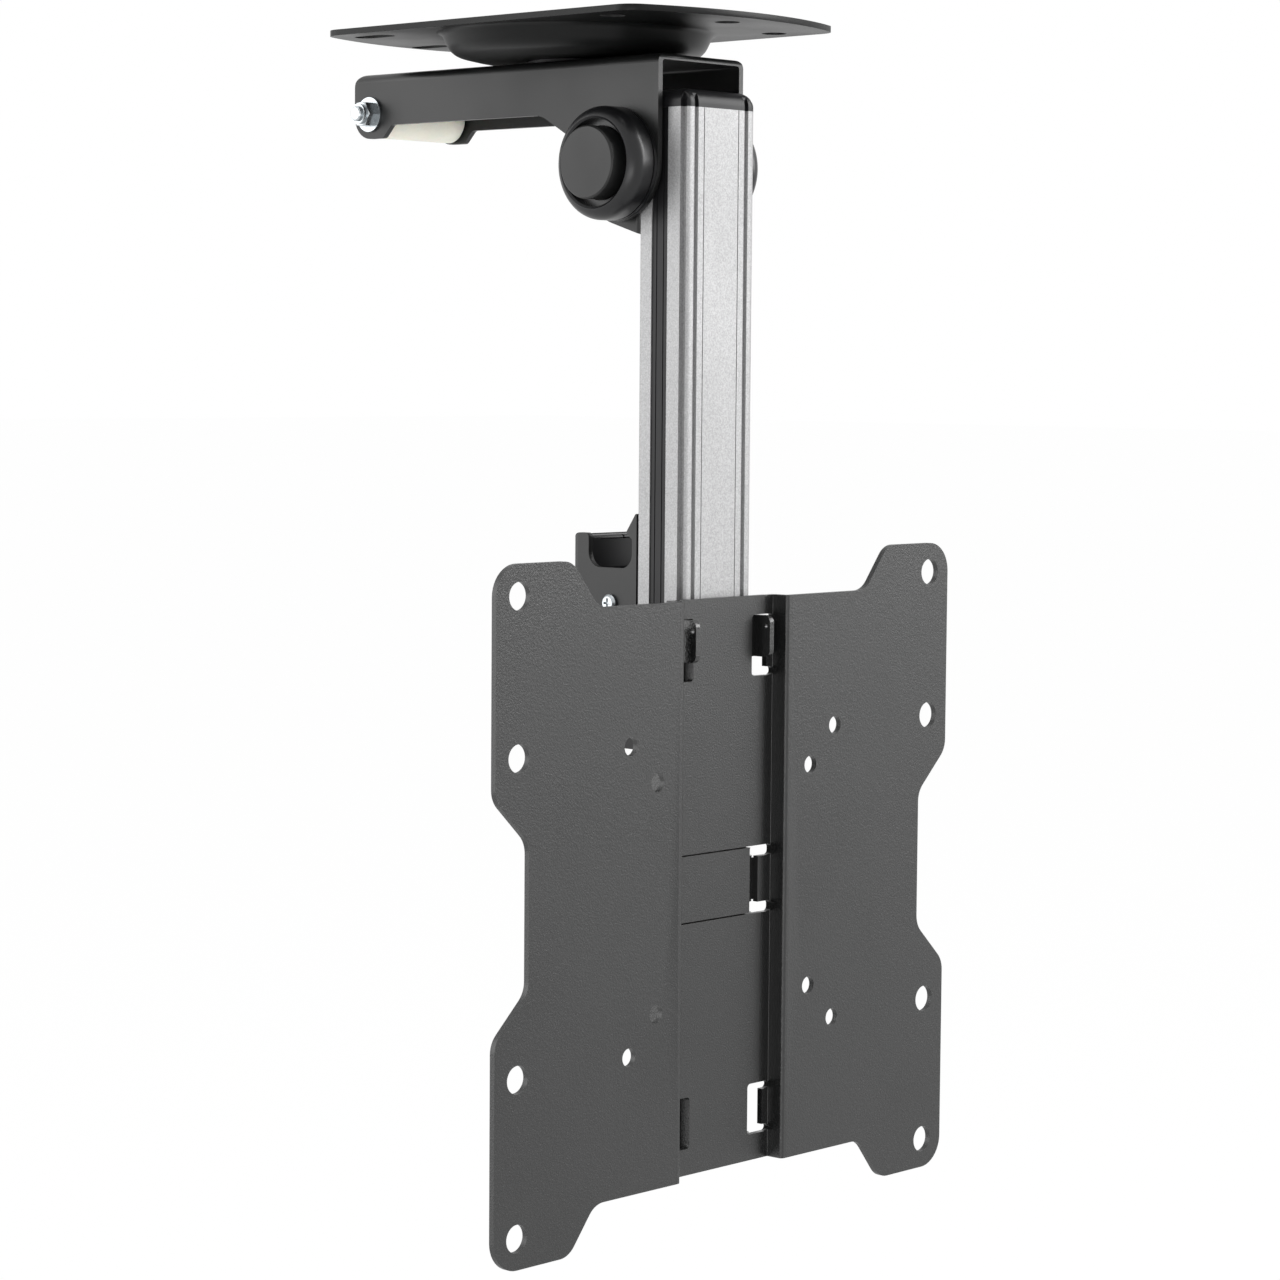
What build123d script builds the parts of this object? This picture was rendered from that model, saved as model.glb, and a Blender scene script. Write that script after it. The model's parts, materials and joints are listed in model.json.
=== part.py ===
from build123d import *
import os
from math import asin, cos, radians, sin, sqrt, tan

os.makedirs("parts", exist_ok=True)

# A folding ceiling mount for a flat screen, in millimetres.
# The origin is the centre of the ceiling plate's top face, on the swivel axis.
# +Z is up, +Y runs along the arm to its latch end, +X is right as seen from the screen's side.

# General
sheet = 2.0
shaft_clearance = 0.08
passing_clearance = 0.3
screw_clearance = 0.05
ease = 0.5
seat_gap = 0.1
slip = 0.4

# Ceiling plate
ceiling_half_width = 50.0
ceiling_end_y = 82.3
ceiling_end_radius = 117.0
ceiling_corner_radius = 8.0
ceiling_hole_radius = 4.1
ceiling_pair_x = 39.0
ceiling_pair_y = -54.0
ceiling_single_y = -68.0
ceiling_slot_width = 7.0
ceiling_slot_length = 17.0
ceiling_slot_x = 38.5
ceiling_slot_y = 59.0
ceiling_end_slot_y = 72.0
dish_joint_radius = 48.5
dish_mouth_radius = 46.0
dish_wall_radius = 42.6
dish_wall_depth = 7.2
dish_floor_radius = 33.0
dish_depth = 9.4
dish_radii = (2.5, 7.0, 20.0)

# Swivel bolt stack, M10
swivel_radius = 5.0
swivel_head_flats = 16.0
swivel_head_height = 6.0
swivel_nut_flats = 16.0
swivel_nut_height = 8.0
swivel_collar_height = 2.4
swivel_tip = 1.6
friction_disc_radius = 17.0
friction_disc_thickness = 1.0
thrust_washer_radius = 14.0
thrust_washer_thickness = 1.0
steel_washer_radius = 12.0
steel_washer_thickness = 2.0

# Arm channel
arm_half_width = 20.5
arm_bend_radius = 3.0
arm_front_y = -56.85
arm_rear_y = 89.2
arm_wall_depth = 17.9
arm_nose_radius = 4.5
arm_mouth_y = 71.0
arm_mouth_half_width = 17.6
arm_mouth_radius = 4.0
arm_mouth_run = 28.2
arm_neck_y = -3.2
arm_neck_radius = 12.0
arm_step_radius = 2.0
arm_shoulder_rise = 8.0
arm_shoulder_radius = 4.0

# Latch bolt, nut and roller on the arm
latch_y = 81.0
latch_z = -26.4
latch_radius = 2.5
latch_lug_radius = 8.4
latch_lug_toe = 6.4
latch_lug_slant = 4.4
latch_washer_radius = 6.0
latch_washer_thickness = 1.0
latch_head_radius = 4.25
latch_head_height = 3.2
latch_head_bevel = 0.8
latch_socket_flats = 3.0
latch_socket_depth = 1.6
latch_nut_flats = 8.0
latch_nut_height = 3.8
latch_collar_radius = 3.5
latch_collar_height = 1.3
latch_tip = 1.2
latch_tip_bevel = 0.4
roller_radius = 8.0
roller_end_gap = 0.3
roller_bevel = 0.8

# Fold pivot
pivot_y = -38.2
pivot_z = -47.5
pivot_lug_radius = 18.65
pivot_bolt_radius = 3.0
pivot_sleeve_radius = 5.0
pivot_head_flats = 10.0
pivot_head_height = 4.0
pivot_nut_height = 5.0
fold_angle = 97.0
friction_ring_radius = 7.1
friction_ring_thickness = 2.5

# Push buttons and their rings, measured outwards from the arm's walls
ring_radius = 18.5
ring_side = 6.0
ring_height = 10.8
ring_shoulder_radius = 5.1
ring_rim_radius = 15.07
ring_rim_bevel = 0.5
ring_floor = 1.5
ring_seat_radius = 13.4
ring_seat_height = 5.5
ring_lip_height = 7.0
ring_groove_radius = 14.3
ring_seam_height = 1.3
ring_seam_width = 0.6
ring_seam_depth = 0.4
button_radius = 11.85
button_height = 14.3
button_wall = 1.6
button_top = 2.0
button_edge = 0.5
button_flange_radius = 13.1
button_flange_thickness = 1.0
button_spring_radius = 8.6
button_spring_wire = 0.35
button_spring_turns = 3

# Column
column_side_gap = 1.5
column_front_y = -66.0
core_front_y = -58.1
core_rear_y = -51.1
column_rear_y = -45.6
column_top_z = -29.7
column_tail = 86.2
cover_wall = 2.4
cover_corner_radius = 2.6
rear_corner_radius = 1.0
groove_inset = 4.94
groove_width = 1.9
groove_depth = 1.2
fine_line_inset = 8.7
fine_line_width = 0.4
fine_line_depth = 0.3
corner_groove_y = -64.45
corner_groove_width = 1.9
corner_groove_depth = 2.0
core_recess = 0.4
core_line_depth = 0.35
core_wall = 1.5
core_rib = 1.5
slot_half_width = 6.0
slot_back_wall = 1.2
slot_lip = 1.8
slot_cavity_wall = 2.8
cap_rise = 5.9
cap_edge_radius = 4.6
cap_plug_length = 8.0
bottom_cap_rise = 4.0

# Hinge bracket between the column and the pivot
bracket_disc_radius = 19.9
bracket_bottom_z = -70.6
bracket_back_slope = 16.9
nut_plate_top_z = -33.0
bracket_screw_radius = 2.0
bracket_screw_head_radius = 3.6
bracket_screw_head_height = 2.2
bracket_screw_z = (-37.0, -57.5, -65.8)

# Screen plate
vesa_z = -283.8
vesa_margin = 10.0
vesa_corner_radius = 10.0
vesa_web_drop = 15.0
vesa_ear_step_x = 65.2
vesa_ear_slope = 52.0
vesa_waist_depth = 14.6
vesa_waist_step_z = 23.4
vesa_waist_slope = 46.0
vesa_blend_radius = 8.0
vesa_front_y = -75.0
vesa_floor_front_y = -68.8
vesa_joggle_run = 4.0
vesa_joggle_gap = 1.9
vesa_bend_radius = 1.0
big_hole_radius = 4.5
small_hole_radius = 3.0
vesa_200 = 200.0
vesa_100 = 100.0
vesa_75 = 75.0
window_half_height = 11.5
slot_inner_gap = 2.7
slot_outer_gap = 2.9
upper_slot_low = 68.0
upper_slot_high = 90.0
lower_slot_low = -87.0
lower_slot_high = -68.0
slot_corner_radius = 1.0

# Bracket behind the screen plate
carrier_side_gap = 0.1
carrier_half_height = 90.0
carrier_rear_y = -47.0
carrier_tab_front_y = -74.2
upper_tab_low = 74.7
upper_tab_high = 88.5
upper_tab_hole_z = 85.0
upper_tab_hole_radius = 0.9
lower_tab_low = -83.0
lower_tab_high = -71.0
middle_tab_half = 7.0
tab_corner_radius = 2.4
carrier_bolt_radius = 2.5
carrier_bolt_z = 58.0
carrier_head_radius = 4.25
carrier_head_height = 2.75
carrier_nut_flats = 8.0
carrier_nut_height = 4.0

# Latch carriage behind the column, its heights measured from the notch's floor
carriage_depth = 27.9
carriage_strip_width = 2.0
carriage_bottom_drop = 44.0
carriage_wall_rise = 11.2
carriage_corner_radius = 4.0
carriage_top_radius = 1.5
carriage_bend_radius = 3.0
notch_side_gap = 0.38
notch_floor_gap = 3.6
notch_corner_radius = 5.0
tooth_rise = 18.9
tooth_reach = 2.8
tooth_tip_rise = 11.9
tooth_root_rise = 9.7
tooth_top_radius = 0.3
tooth_tip_radius = 0.8
grip_depth = 11.6
grip_corner_radius = 3.0
block_drop = 3.0
block_height = 18.0
block_depth = 16.3
latch_screw_inset = 11.6
latch_screw_drop = 11.7
latch_screw_radius = 1.5
latch_screw_head_radius = 3.0
latch_screw_head_height = 1.7
latch_screw_head_bevel = 0.8
latch_screw_length = 10.0
bumper_half_width = 4.6
bumper_rise = 9.0
bumper_height = 10.5
bumper_stud_radius = 2.0
spring_inset = 7.8
spring_radius = 4.0
spring_wire = 0.5
spring_turns = 6
stop_drop = 31.0
stop_height = 9.0
stop_half_width = 8.0
stop_depth = 14.3
stop_screw_radius = 2.0
stop_screw_head_radius = 3.6
stop_screw_head_height = 2.2

# Worked out from the sizes above
dish_floor_z = -sheet - dish_depth
arm_top_z = dish_floor_z - friction_disc_thickness
arm_web_z = arm_top_z - sheet
arm_inner_half_width = arm_half_width - sheet
bracket_half_width = arm_inner_half_width - friction_ring_thickness
column_half_width = arm_inner_half_width - column_side_gap
groove_x = column_half_width - groove_inset
fine_line_x = column_half_width - fine_line_inset
slot_cavity_half_width = column_half_width - slot_cavity_wall
carrier_inner_half_width = column_half_width + carrier_side_gap
carrier_half_width = carrier_inner_half_width + sheet
vesa_half = vesa_200 / 2 + vesa_margin
vesa_web_half_height = vesa_half - vesa_web_drop
vesa_waist_half_width = vesa_half - vesa_waist_depth
vesa_joggle_inner_x = carrier_half_width + vesa_joggle_gap
vesa_joggle_outer_x = vesa_joggle_inner_x + vesa_joggle_run
slot_inner_x = carrier_inner_half_width - slot_inner_gap
slot_outer_x = carrier_half_width + slot_outer_gap
carriage_half_width = column_half_width
arm_wall_z = arm_top_z - arm_wall_depth
washer_top_z = arm_web_z - thrust_washer_thickness
swivel_nut_top_z = washer_top_z - steel_washer_thickness
swivel_nut_low_z = swivel_nut_top_z - swivel_nut_height - swivel_collar_height
column_bottom_z = vesa_z - column_tail
slot_cavity_front_y = core_rear_y + slot_back_wall
slot_cavity_rear_y = column_rear_y - slot_lip
bracket_web_rear_y = column_rear_y + sheet
vesa_floor_rear_y = vesa_floor_front_y + sheet
carrier_top_z = vesa_z + carrier_half_height
carrier_bottom_z = vesa_z - carrier_half_height
carrier_web_rear_y = vesa_floor_rear_y + sheet
cover_bottom_z = carrier_top_z + ease
core_y = (core_front_y + core_rear_y) / 2
corner_groove_x = column_half_width - corner_groove_depth / 2
button_seat_x = arm_half_width + ring_floor

# The roller's place beside the hanging column once the column is folded up
roller_reach_y = latch_y - pivot_y
roller_reach_z = latch_z - pivot_z
fold = radians(fold_angle)
folded_roller_y = pivot_y + roller_reach_y * cos(fold) + roller_reach_z * sin(fold)
folded_roller_z = pivot_z - roller_reach_y * sin(fold) + roller_reach_z * cos(fold)

# Latch carriage, set round that place
notch_bottom_z = folded_roller_z - roller_radius - notch_floor_gap
notch_rear_y = folded_roller_y + roller_radius + notch_side_gap
carriage_strip_front_y = column_rear_y + passing_clearance
carriage_strip_rear_y = carriage_strip_front_y + carriage_strip_width
carriage_rear_y = carriage_strip_front_y + carriage_depth + sheet
carriage_web_y = carriage_rear_y - sheet
carriage_inner_half_width = carriage_half_width - sheet
carriage_bottom_z = notch_bottom_z - carriage_bottom_drop
carriage_top_z = notch_bottom_z + carriage_wall_rise
tooth_top_z = notch_bottom_z + tooth_rise
block_top_z = notch_bottom_z - block_drop
block_bottom_z = block_top_z - block_height
latch_screw_y = carriage_strip_front_y + latch_screw_inset
latch_screw_z = notch_bottom_z - latch_screw_drop
bumper_top_z = notch_bottom_z + bumper_rise
bumper_z = bumper_top_z - bumper_height / 2
stop_top_z = block_bottom_z - stop_drop
stop_z = stop_top_z - stop_height / 2


def save(builder, name):
    """Label a finished piece and write it."""
    builder.part.label = name
    export_step(builder.part, f"parts/{name}.step")


def bent_strip(points, radius, side):
    """Section of a bent sheet whose one face follows the points."""
    with BuildSketch() as section:
        with BuildLine():
            FilletPolyline(*points, radius=radius)
            offset(amount=sheet, side=side)
        make_face()
    return section.sketch


def nut_on_x(x, y, z, flats, height, bore, direction):
    """Hexagon nut or head on an axis along X, starting at x and growing in the direction."""
    with BuildSketch(Plane.YZ.offset(x)) as profile:
        with Locations((y, z)):
            RegularPolygon(flats / 2, 6, major_radius=False)
            if bore > 0:
                Circle(bore, mode=Mode.SUBTRACT)
    extrude(profile.sketch, amount=direction * height)


def bevel_nut(x, y, z, radius, depth, direction):
    """Cut a nut's corners to a 30 degree cone that meets its outer face in a circle."""
    inner_x = x - direction * depth
    with BuildSketch(Plane.XY.offset(z)) as profile:
        with BuildLine():
            Polyline((inner_x, y), (x, y), (x, y + radius), (inner_x, y + radius + depth * sqrt(3)), close=True)
        make_face()
    revolve(profile.sketch, axis=Axis((0, y, z), (1, 0, 0)), mode=Mode.INTERSECT)


def disc_on_x(x, y, z, radius, height, direction, mode=Mode.ADD):
    """Round disc on an axis along X, starting at x and growing in the direction."""
    with BuildSketch(Plane.YZ.offset(x)) as profile:
        with Locations((y, z)):
            Circle(radius)
    extrude(profile.sketch, amount=direction * height, mode=mode)


def washer_on_x(x, y, z, radius, bore, height, direction):
    """Flat washer or sleeve on an axis along X."""
    with BuildSketch(Plane.YZ.offset(x)) as profile:
        with Locations((y, z)):
            Circle(radius)
            Circle(bore, mode=Mode.SUBTRACT)
    extrude(profile.sketch, amount=direction * height)


def hole_on_x(y, z, radius, half_length):
    """Round hole along X through both walls of a piece."""
    with BuildSketch(Plane.YZ) as profile:
        with Locations((y, z)):
            Circle(radius)
    extrude(profile.sketch, amount=half_length, both=True, mode=Mode.SUBTRACT)


def block(low, high, mode=Mode.ADD):
    """Block between two corners."""
    centre = tuple((a + b) / 2 for a, b in zip(low, high))
    size = tuple(b - a for a, b in zip(low, high))
    with Locations(centre):
        Box(*size, mode=mode)


# Ceiling plate with its drawn dish
ceiling_side_y = ceiling_end_y - ceiling_end_radius + sqrt(ceiling_end_radius**2 - ceiling_half_width**2)
dish_section = bent_strip(
    [
        (dish_joint_radius, -sheet),
        (dish_mouth_radius, -sheet),
        (dish_wall_radius, -sheet - dish_wall_depth),
        (dish_floor_radius, dish_floor_z),
        (0, dish_floor_z),
    ],
    dish_radii,
    Side.RIGHT,
)
with BuildPart() as ceiling_plate:
    with BuildSketch(Plane.XY.offset(-sheet)):
        with BuildLine():
            Line((-ceiling_half_width, -ceiling_side_y), (-ceiling_half_width, ceiling_side_y))
            ThreePointArc(
                (-ceiling_half_width, ceiling_side_y), (0, ceiling_end_y), (ceiling_half_width, ceiling_side_y)
            )
            Line((ceiling_half_width, ceiling_side_y), (ceiling_half_width, -ceiling_side_y))
            ThreePointArc(
                (ceiling_half_width, -ceiling_side_y), (0, -ceiling_end_y), (-ceiling_half_width, -ceiling_side_y)
            )
        face = make_face()
        fillet(face.vertices(), ceiling_corner_radius)
        Circle(dish_joint_radius, mode=Mode.SUBTRACT)
        with Locations((-ceiling_pair_x, ceiling_pair_y), (ceiling_pair_x, ceiling_pair_y), (0, ceiling_single_y)):
            Circle(ceiling_hole_radius, mode=Mode.SUBTRACT)
        with Locations(
            (-ceiling_slot_x, ceiling_slot_y), (ceiling_slot_x, ceiling_slot_y), (0, ceiling_end_slot_y)
        ):
            SlotOverall(ceiling_slot_length, ceiling_slot_width, rotation=90, mode=Mode.SUBTRACT)
    extrude(amount=sheet)
    with BuildSketch(Plane.XZ):
        add(dish_section)
    revolve(axis=Axis.Z)
    with BuildSketch(Plane.XY.offset(dish_floor_z - ease)):
        Circle(swivel_radius + screw_clearance)
    extrude(amount=sheet + 2 * ease, mode=Mode.SUBTRACT)
save(ceiling_plate, "ceiling_plate")

# Swivel bolt, its head inside the dish
with BuildPart() as swivel_bolt:
    with BuildSketch(Plane.XY.offset(dish_floor_z + sheet)):
        RegularPolygon(swivel_head_flats / 2, 6, major_radius=False)
    extrude(amount=swivel_head_height)
    chamfer(swivel_bolt.faces().sort_by(Axis.Z)[-1].edges(), ease)
    with BuildSketch(Plane.XY.offset(swivel_nut_low_z - swivel_tip)):
        Circle(swivel_radius)
    extrude(until=Until.NEXT)
    chamfer(swivel_bolt.faces().sort_by(Axis.Z)[0].edges(), ease)
save(swivel_bolt, "swivel_bolt")

# Thin nylon disc that the arm turns on
with BuildPart() as friction_disc:
    with BuildSketch(Plane.XY.offset(arm_top_z)):
        Circle(friction_disc_radius)
        Circle(swivel_radius + shaft_clearance, mode=Mode.SUBTRACT)
    extrude(amount=friction_disc_thickness)
save(friction_disc, "friction_disc")

# Nylon washer under the arm's web
with BuildPart() as thrust_washer:
    with BuildSketch(Plane.XY.offset(washer_top_z)):
        Circle(thrust_washer_radius)
        Circle(swivel_radius + screw_clearance, mode=Mode.SUBTRACT)
    extrude(amount=thrust_washer_thickness)
save(thrust_washer, "thrust_washer")

# Steel washer under it
with BuildPart() as swivel_washer:
    with BuildSketch(Plane.XY.offset(swivel_nut_top_z)):
        Circle(steel_washer_radius)
        Circle(swivel_radius + screw_clearance, mode=Mode.SUBTRACT)
    extrude(amount=steel_washer_thickness)
save(swivel_washer, "swivel_washer")

# Lock nut of the swivel
with BuildPart() as swivel_nut:
    with BuildSketch(Plane.XY.offset(swivel_nut_top_z - swivel_nut_height)):
        RegularPolygon(swivel_nut_flats / 2, 6, major_radius=False)
    extrude(amount=swivel_nut_height)
    with BuildSketch(Plane.XY.offset(swivel_nut_low_z)):
        Circle(swivel_nut_flats / 2 - ease)
    extrude(amount=swivel_collar_height)
    with BuildSketch(Plane.XY.offset(swivel_nut_low_z)):
        Circle(swivel_radius + screw_clearance)
    extrude(amount=swivel_nut_height + swivel_collar_height, mode=Mode.SUBTRACT)
save(swivel_nut, "swivel_nut")

# Arm channel: a folded section trimmed to its side outline
lug_low_z = latch_z - latch_lug_radius
arm_low_z = pivot_z - pivot_lug_radius
arm_section = bent_strip(
    [
        (-arm_half_width, arm_low_z),
        (-arm_half_width, arm_top_z),
        (arm_half_width, arm_top_z),
        (arm_half_width, arm_low_z),
    ],
    arm_bend_radius,
    Side.RIGHT,
)
with BuildPart() as arm_channel:
    with BuildSketch(Plane.XZ.offset(-arm_rear_y)):
        add(arm_section)
    extrude(amount=arm_rear_y - arm_front_y)
    with BuildSketch(Plane.YZ):
        with BuildLine():
            FilletPolyline(
                (arm_front_y, pivot_z),
                (arm_front_y, arm_top_z),
                (arm_rear_y, arm_top_z),
                (arm_rear_y, lug_low_z),
                (latch_y - latch_lug_toe, lug_low_z),
                (latch_y - latch_lug_toe - latch_lug_slant, arm_wall_z),
                (arm_neck_y, arm_wall_z),
                (pivot_y + pivot_lug_radius, pivot_z + arm_shoulder_rise),
                (pivot_y + pivot_lug_radius, pivot_z),
                radius=(
                    arm_bend_radius / 2,
                    arm_nose_radius,
                    latch_lug_radius - slip,
                    arm_step_radius,
                    arm_step_radius,
                    arm_neck_radius,
                    arm_shoulder_radius,
                ),
            )
            ThreePointArc(
                (pivot_y + pivot_lug_radius, pivot_z), (pivot_y, arm_low_z), (pivot_y - pivot_lug_radius, pivot_z)
            )
        make_face()
    extrude(amount=arm_half_width + ease, both=True, mode=Mode.INTERSECT)
    with BuildSketch(Plane.XY.offset(arm_web_z - ease)):
        with Locations((0, arm_mouth_y + arm_mouth_run / 2)):
            RectangleRounded(2 * arm_mouth_half_width, arm_mouth_run, arm_mouth_radius)
        Circle(swivel_radius + shaft_clearance)
    extrude(amount=sheet + 2 * ease, mode=Mode.SUBTRACT)
    hole_on_x(pivot_y, pivot_z, pivot_bolt_radius + screw_clearance, arm_half_width + ease)
    hole_on_x(latch_y, latch_z, latch_radius + screw_clearance, arm_half_width + ease)
save(arm_channel, "arm_channel")

# Latch bolt with its head on the right
head_x = arm_half_width + latch_washer_thickness
nut_end_x = head_x + latch_nut_height + latch_collar_height
with BuildPart() as latch_bolt:
    disc_on_x(head_x, latch_y, latch_z, latch_head_radius, latch_head_height, 1)
    chamfer(latch_bolt.faces().sort_by(Axis.X)[-1].edges(), latch_head_bevel)
    with BuildSketch(Plane.YZ.offset(head_x + latch_head_height)):
        with Locations((latch_y, latch_z)):
            RegularPolygon(latch_socket_flats / 2, 6, major_radius=False)
    extrude(amount=-latch_socket_depth, mode=Mode.SUBTRACT)
    disc_on_x(head_x, latch_y, latch_z, latch_radius, head_x + nut_end_x + latch_tip, -1)
    chamfer(latch_bolt.faces().sort_by(Axis.X)[0].edges(), latch_tip_bevel)
save(latch_bolt, "latch_bolt")

with BuildPart() as latch_washers:
    for side in (-1, 1):
        washer_on_x(
            side * arm_half_width,
            latch_y,
            latch_z,
            latch_washer_radius,
            latch_radius + screw_clearance,
            latch_washer_thickness,
            side,
        )
save(latch_washers, "latch_washers")

with BuildPart() as latch_nut:
    bore = latch_radius + screw_clearance
    nut_on_x(-head_x, latch_y, latch_z, latch_nut_flats, latch_nut_height, bore, -1)
    bevel_nut(-head_x - latch_nut_height, latch_y, latch_z, latch_nut_flats / 2, latch_nut_height, -1)
    washer_on_x(-head_x - latch_nut_height, latch_y, latch_z, latch_collar_radius, bore, latch_collar_height, -1)
save(latch_nut, "latch_nut")

# Nylon roller that turns on the latch bolt
roller_half_length = arm_inner_half_width - roller_end_gap
with BuildPart() as latch_roller:
    washer_on_x(
        -roller_half_length,
        latch_y,
        latch_z,
        roller_radius,
        latch_radius + shaft_clearance,
        2 * roller_half_length,
        1,
    )
    ends = latch_roller.edges().filter_by(GeomType.CIRCLE).sort_by(SortBy.RADIUS)[-2:]
    chamfer(ends, roller_bevel)
save(latch_roller, "latch_roller")

# Fold pivot: sleeve between the arm's walls, bolt and nut inside the rings
with BuildPart() as pivot_sleeve:
    washer_on_x(
        -arm_inner_half_width,
        pivot_y,
        pivot_z,
        pivot_sleeve_radius,
        pivot_bolt_radius + screw_clearance,
        2 * arm_inner_half_width,
        1,
    )
save(pivot_sleeve, "pivot_sleeve")

with BuildPart() as pivot_bolt:
    nut_on_x(button_seat_x, pivot_y, pivot_z, pivot_head_flats, pivot_head_height, 0, 1)
    disc_on_x(
        button_seat_x,
        pivot_y,
        pivot_z,
        pivot_bolt_radius,
        2 * button_seat_x + pivot_nut_height + ease,
        -1,
    )
save(pivot_bolt, "pivot_bolt")

with BuildPart() as pivot_nut:
    nut_on_x(
        -button_seat_x,
        pivot_y,
        pivot_z,
        pivot_head_flats,
        pivot_nut_height,
        pivot_bolt_radius + screw_clearance,
        -1,
    )
save(pivot_nut, "pivot_nut")

with BuildPart() as friction_rings:
    for side in (-1, 1):
        washer_on_x(
            side * bracket_half_width,
            pivot_y,
            pivot_z,
            friction_ring_radius,
            pivot_sleeve_radius + screw_clearance,
            friction_ring_thickness,
            side,
        )
save(friction_rings, "friction_rings")


def make_ring(side, name):
    """Turned ring outside one wall of the arm, with the button's seat inside it."""
    pivot_axis = Axis((0, pivot_y, pivot_z), (1, 0, 0))
    bolt_hole = pivot_bolt_radius + screw_clearance
    outline = [
        (ring_height, ring_rim_radius),
        (ring_height - ring_rim_bevel, ring_groove_radius),
        (ring_lip_height, ring_groove_radius),
        (ring_lip_height, button_radius + passing_clearance),
        (ring_seat_height, button_radius + passing_clearance),
        (ring_seat_height, ring_seat_radius),
        (ring_floor, ring_seat_radius),
        (ring_floor, bolt_hole),
        (0, bolt_hole),
        (0, ring_radius),
        (ring_seam_height, ring_radius),
        (ring_seam_height, ring_radius - ring_seam_depth),
        (ring_seam_height + ring_seam_width, ring_radius - ring_seam_depth),
        (ring_seam_height + ring_seam_width, ring_radius),
        (ring_side, ring_radius),
    ]

    def place(height, radius):
        return (side * (arm_half_width + height), pivot_y + radius)

    turn = asin((ring_height - ring_side) / ring_shoulder_radius)
    crest_radius = ring_radius - ring_shoulder_radius * (1 - cos(turn))
    with BuildPart() as ring:
        with BuildSketch(Plane.XY.offset(pivot_z)):
            with BuildLine():
                Polyline(*[place(*point) for point in outline])
                ThreePointArc(
                    place(ring_side, ring_radius),
                    place(
                        ring_side + ring_shoulder_radius * sin(turn / 2),
                        ring_radius - ring_shoulder_radius * (1 - cos(turn / 2)),
                    ),
                    place(ring_height, crest_radius),
                )
                Line(place(ring_height, crest_radius), place(ring_height, ring_rim_radius))
            make_face()
        revolve(axis=pivot_axis)
    save(ring, name)


def make_button(side, name):
    """Hollow push button with a flange that keeps it in its ring."""
    low_x = side * (arm_half_width + ring_seat_height - seat_gap - button_flange_thickness)
    top_x = side * (arm_half_width + button_height)
    with BuildPart() as button:
        disc_on_x(low_x, pivot_y, pivot_z, button_radius, abs(top_x - low_x), side)
        crown = button.faces().sort_by(Axis.X)[-1 if side > 0 else 0]
        chamfer(crown.edges(), button_edge)
        disc_on_x(low_x, pivot_y, pivot_z, button_flange_radius, button_flange_thickness, side)
        disc_on_x(
            low_x,
            pivot_y,
            pivot_z,
            button_radius - button_wall,
            abs(top_x - low_x) - button_top,
            side,
            mode=Mode.SUBTRACT,
        )
    save(button, name)


def make_spring(origin, direction, length, radius, wire, turns, name):
    """Coil spring along one axis, its fine wire drawn square."""
    with BuildPart() as spring:
        with BuildLine():
            coil = Helix(pitch=length / turns, height=length, radius=radius, center=origin, direction=direction)
        with BuildSketch(Plane(origin=coil @ 0, z_dir=coil % 0)):
            RegularPolygon(wire, 4)
        sweep(is_frenet=True)
    save(spring, name)


button_spring_length = button_height - button_top - ring_floor - 2 * button_spring_wire - 2 * seat_gap
for side, word in ((-1, "left"), (1, "right")):
    make_ring(side, f"{word}_pivot_ring")
    make_button(side, f"{word}_button")
    make_spring(
        (side * (button_seat_x + button_spring_wire + seat_gap), pivot_y, pivot_z),
        (side, 0, 0),
        button_spring_length,
        button_spring_radius,
        button_spring_wire,
        button_spring_turns,
        f"{word}_button_spring",
    )

# Column: aluminium front cover, plastic core and slotted aluminium back
with BuildPart() as column_front_cover:
    with BuildSketch(Plane.XY.offset(cover_bottom_z)):
        with Locations((0, (column_front_y + core_front_y) / 2)):
            outer = Rectangle(2 * column_half_width, core_front_y - column_front_y)
        fillet(outer.vertices().group_by(Axis.Y)[0], cover_corner_radius)
        with Locations((0, (column_front_y + core_front_y) / 2 + ease / 2)):
            Rectangle(
                2 * (column_half_width - cover_wall),
                core_front_y - column_front_y - 2 * cover_wall + ease,
                mode=Mode.SUBTRACT,
            )
        for side in (-1, 1):
            with Locations((side * groove_x, column_front_y + groove_depth / 2)):
                Rectangle(groove_width, groove_depth, mode=Mode.SUBTRACT)
            with Locations((side * fine_line_x, column_front_y + fine_line_depth / 2)):
                Rectangle(fine_line_width, fine_line_depth, mode=Mode.SUBTRACT)
            with Locations((side * corner_groove_x, corner_groove_y)):
                Rectangle(corner_groove_depth, corner_groove_width, mode=Mode.SUBTRACT)
    extrude(amount=column_top_z - cover_bottom_z)
save(column_front_cover, "column_front_cover")

cell_width = (2 * (column_half_width - core_recess) - 2 * core_wall - 2 * core_rib) / 3
cell_depth = core_rear_y - core_front_y - 2 * core_wall
with BuildPart() as column_core:
    with BuildSketch(Plane.XY.offset(column_bottom_z)):
        with Locations((0, core_y)):
            Rectangle(2 * (column_half_width - core_recess), core_rear_y - core_front_y)
        with Locations((0, core_y)):
            with GridLocations(cell_width + core_rib, 0, 3, 1):
                Rectangle(cell_width, cell_depth, mode=Mode.SUBTRACT)
        for side in (-1, 1):
            for line_y in (core_y - core_wall, core_y + core_wall):
                with Locations((side * (column_half_width - core_recess), line_y)):
                    Rectangle(2 * core_line_depth, fine_line_width, mode=Mode.SUBTRACT)
    extrude(amount=column_top_z - column_bottom_z)
    for bolt_z in (-carrier_bolt_z, carrier_bolt_z):
        hole_on_x(core_y, vesa_z + bolt_z, carrier_bolt_radius + screw_clearance, column_half_width + ease)
save(column_core, "column_core")

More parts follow.
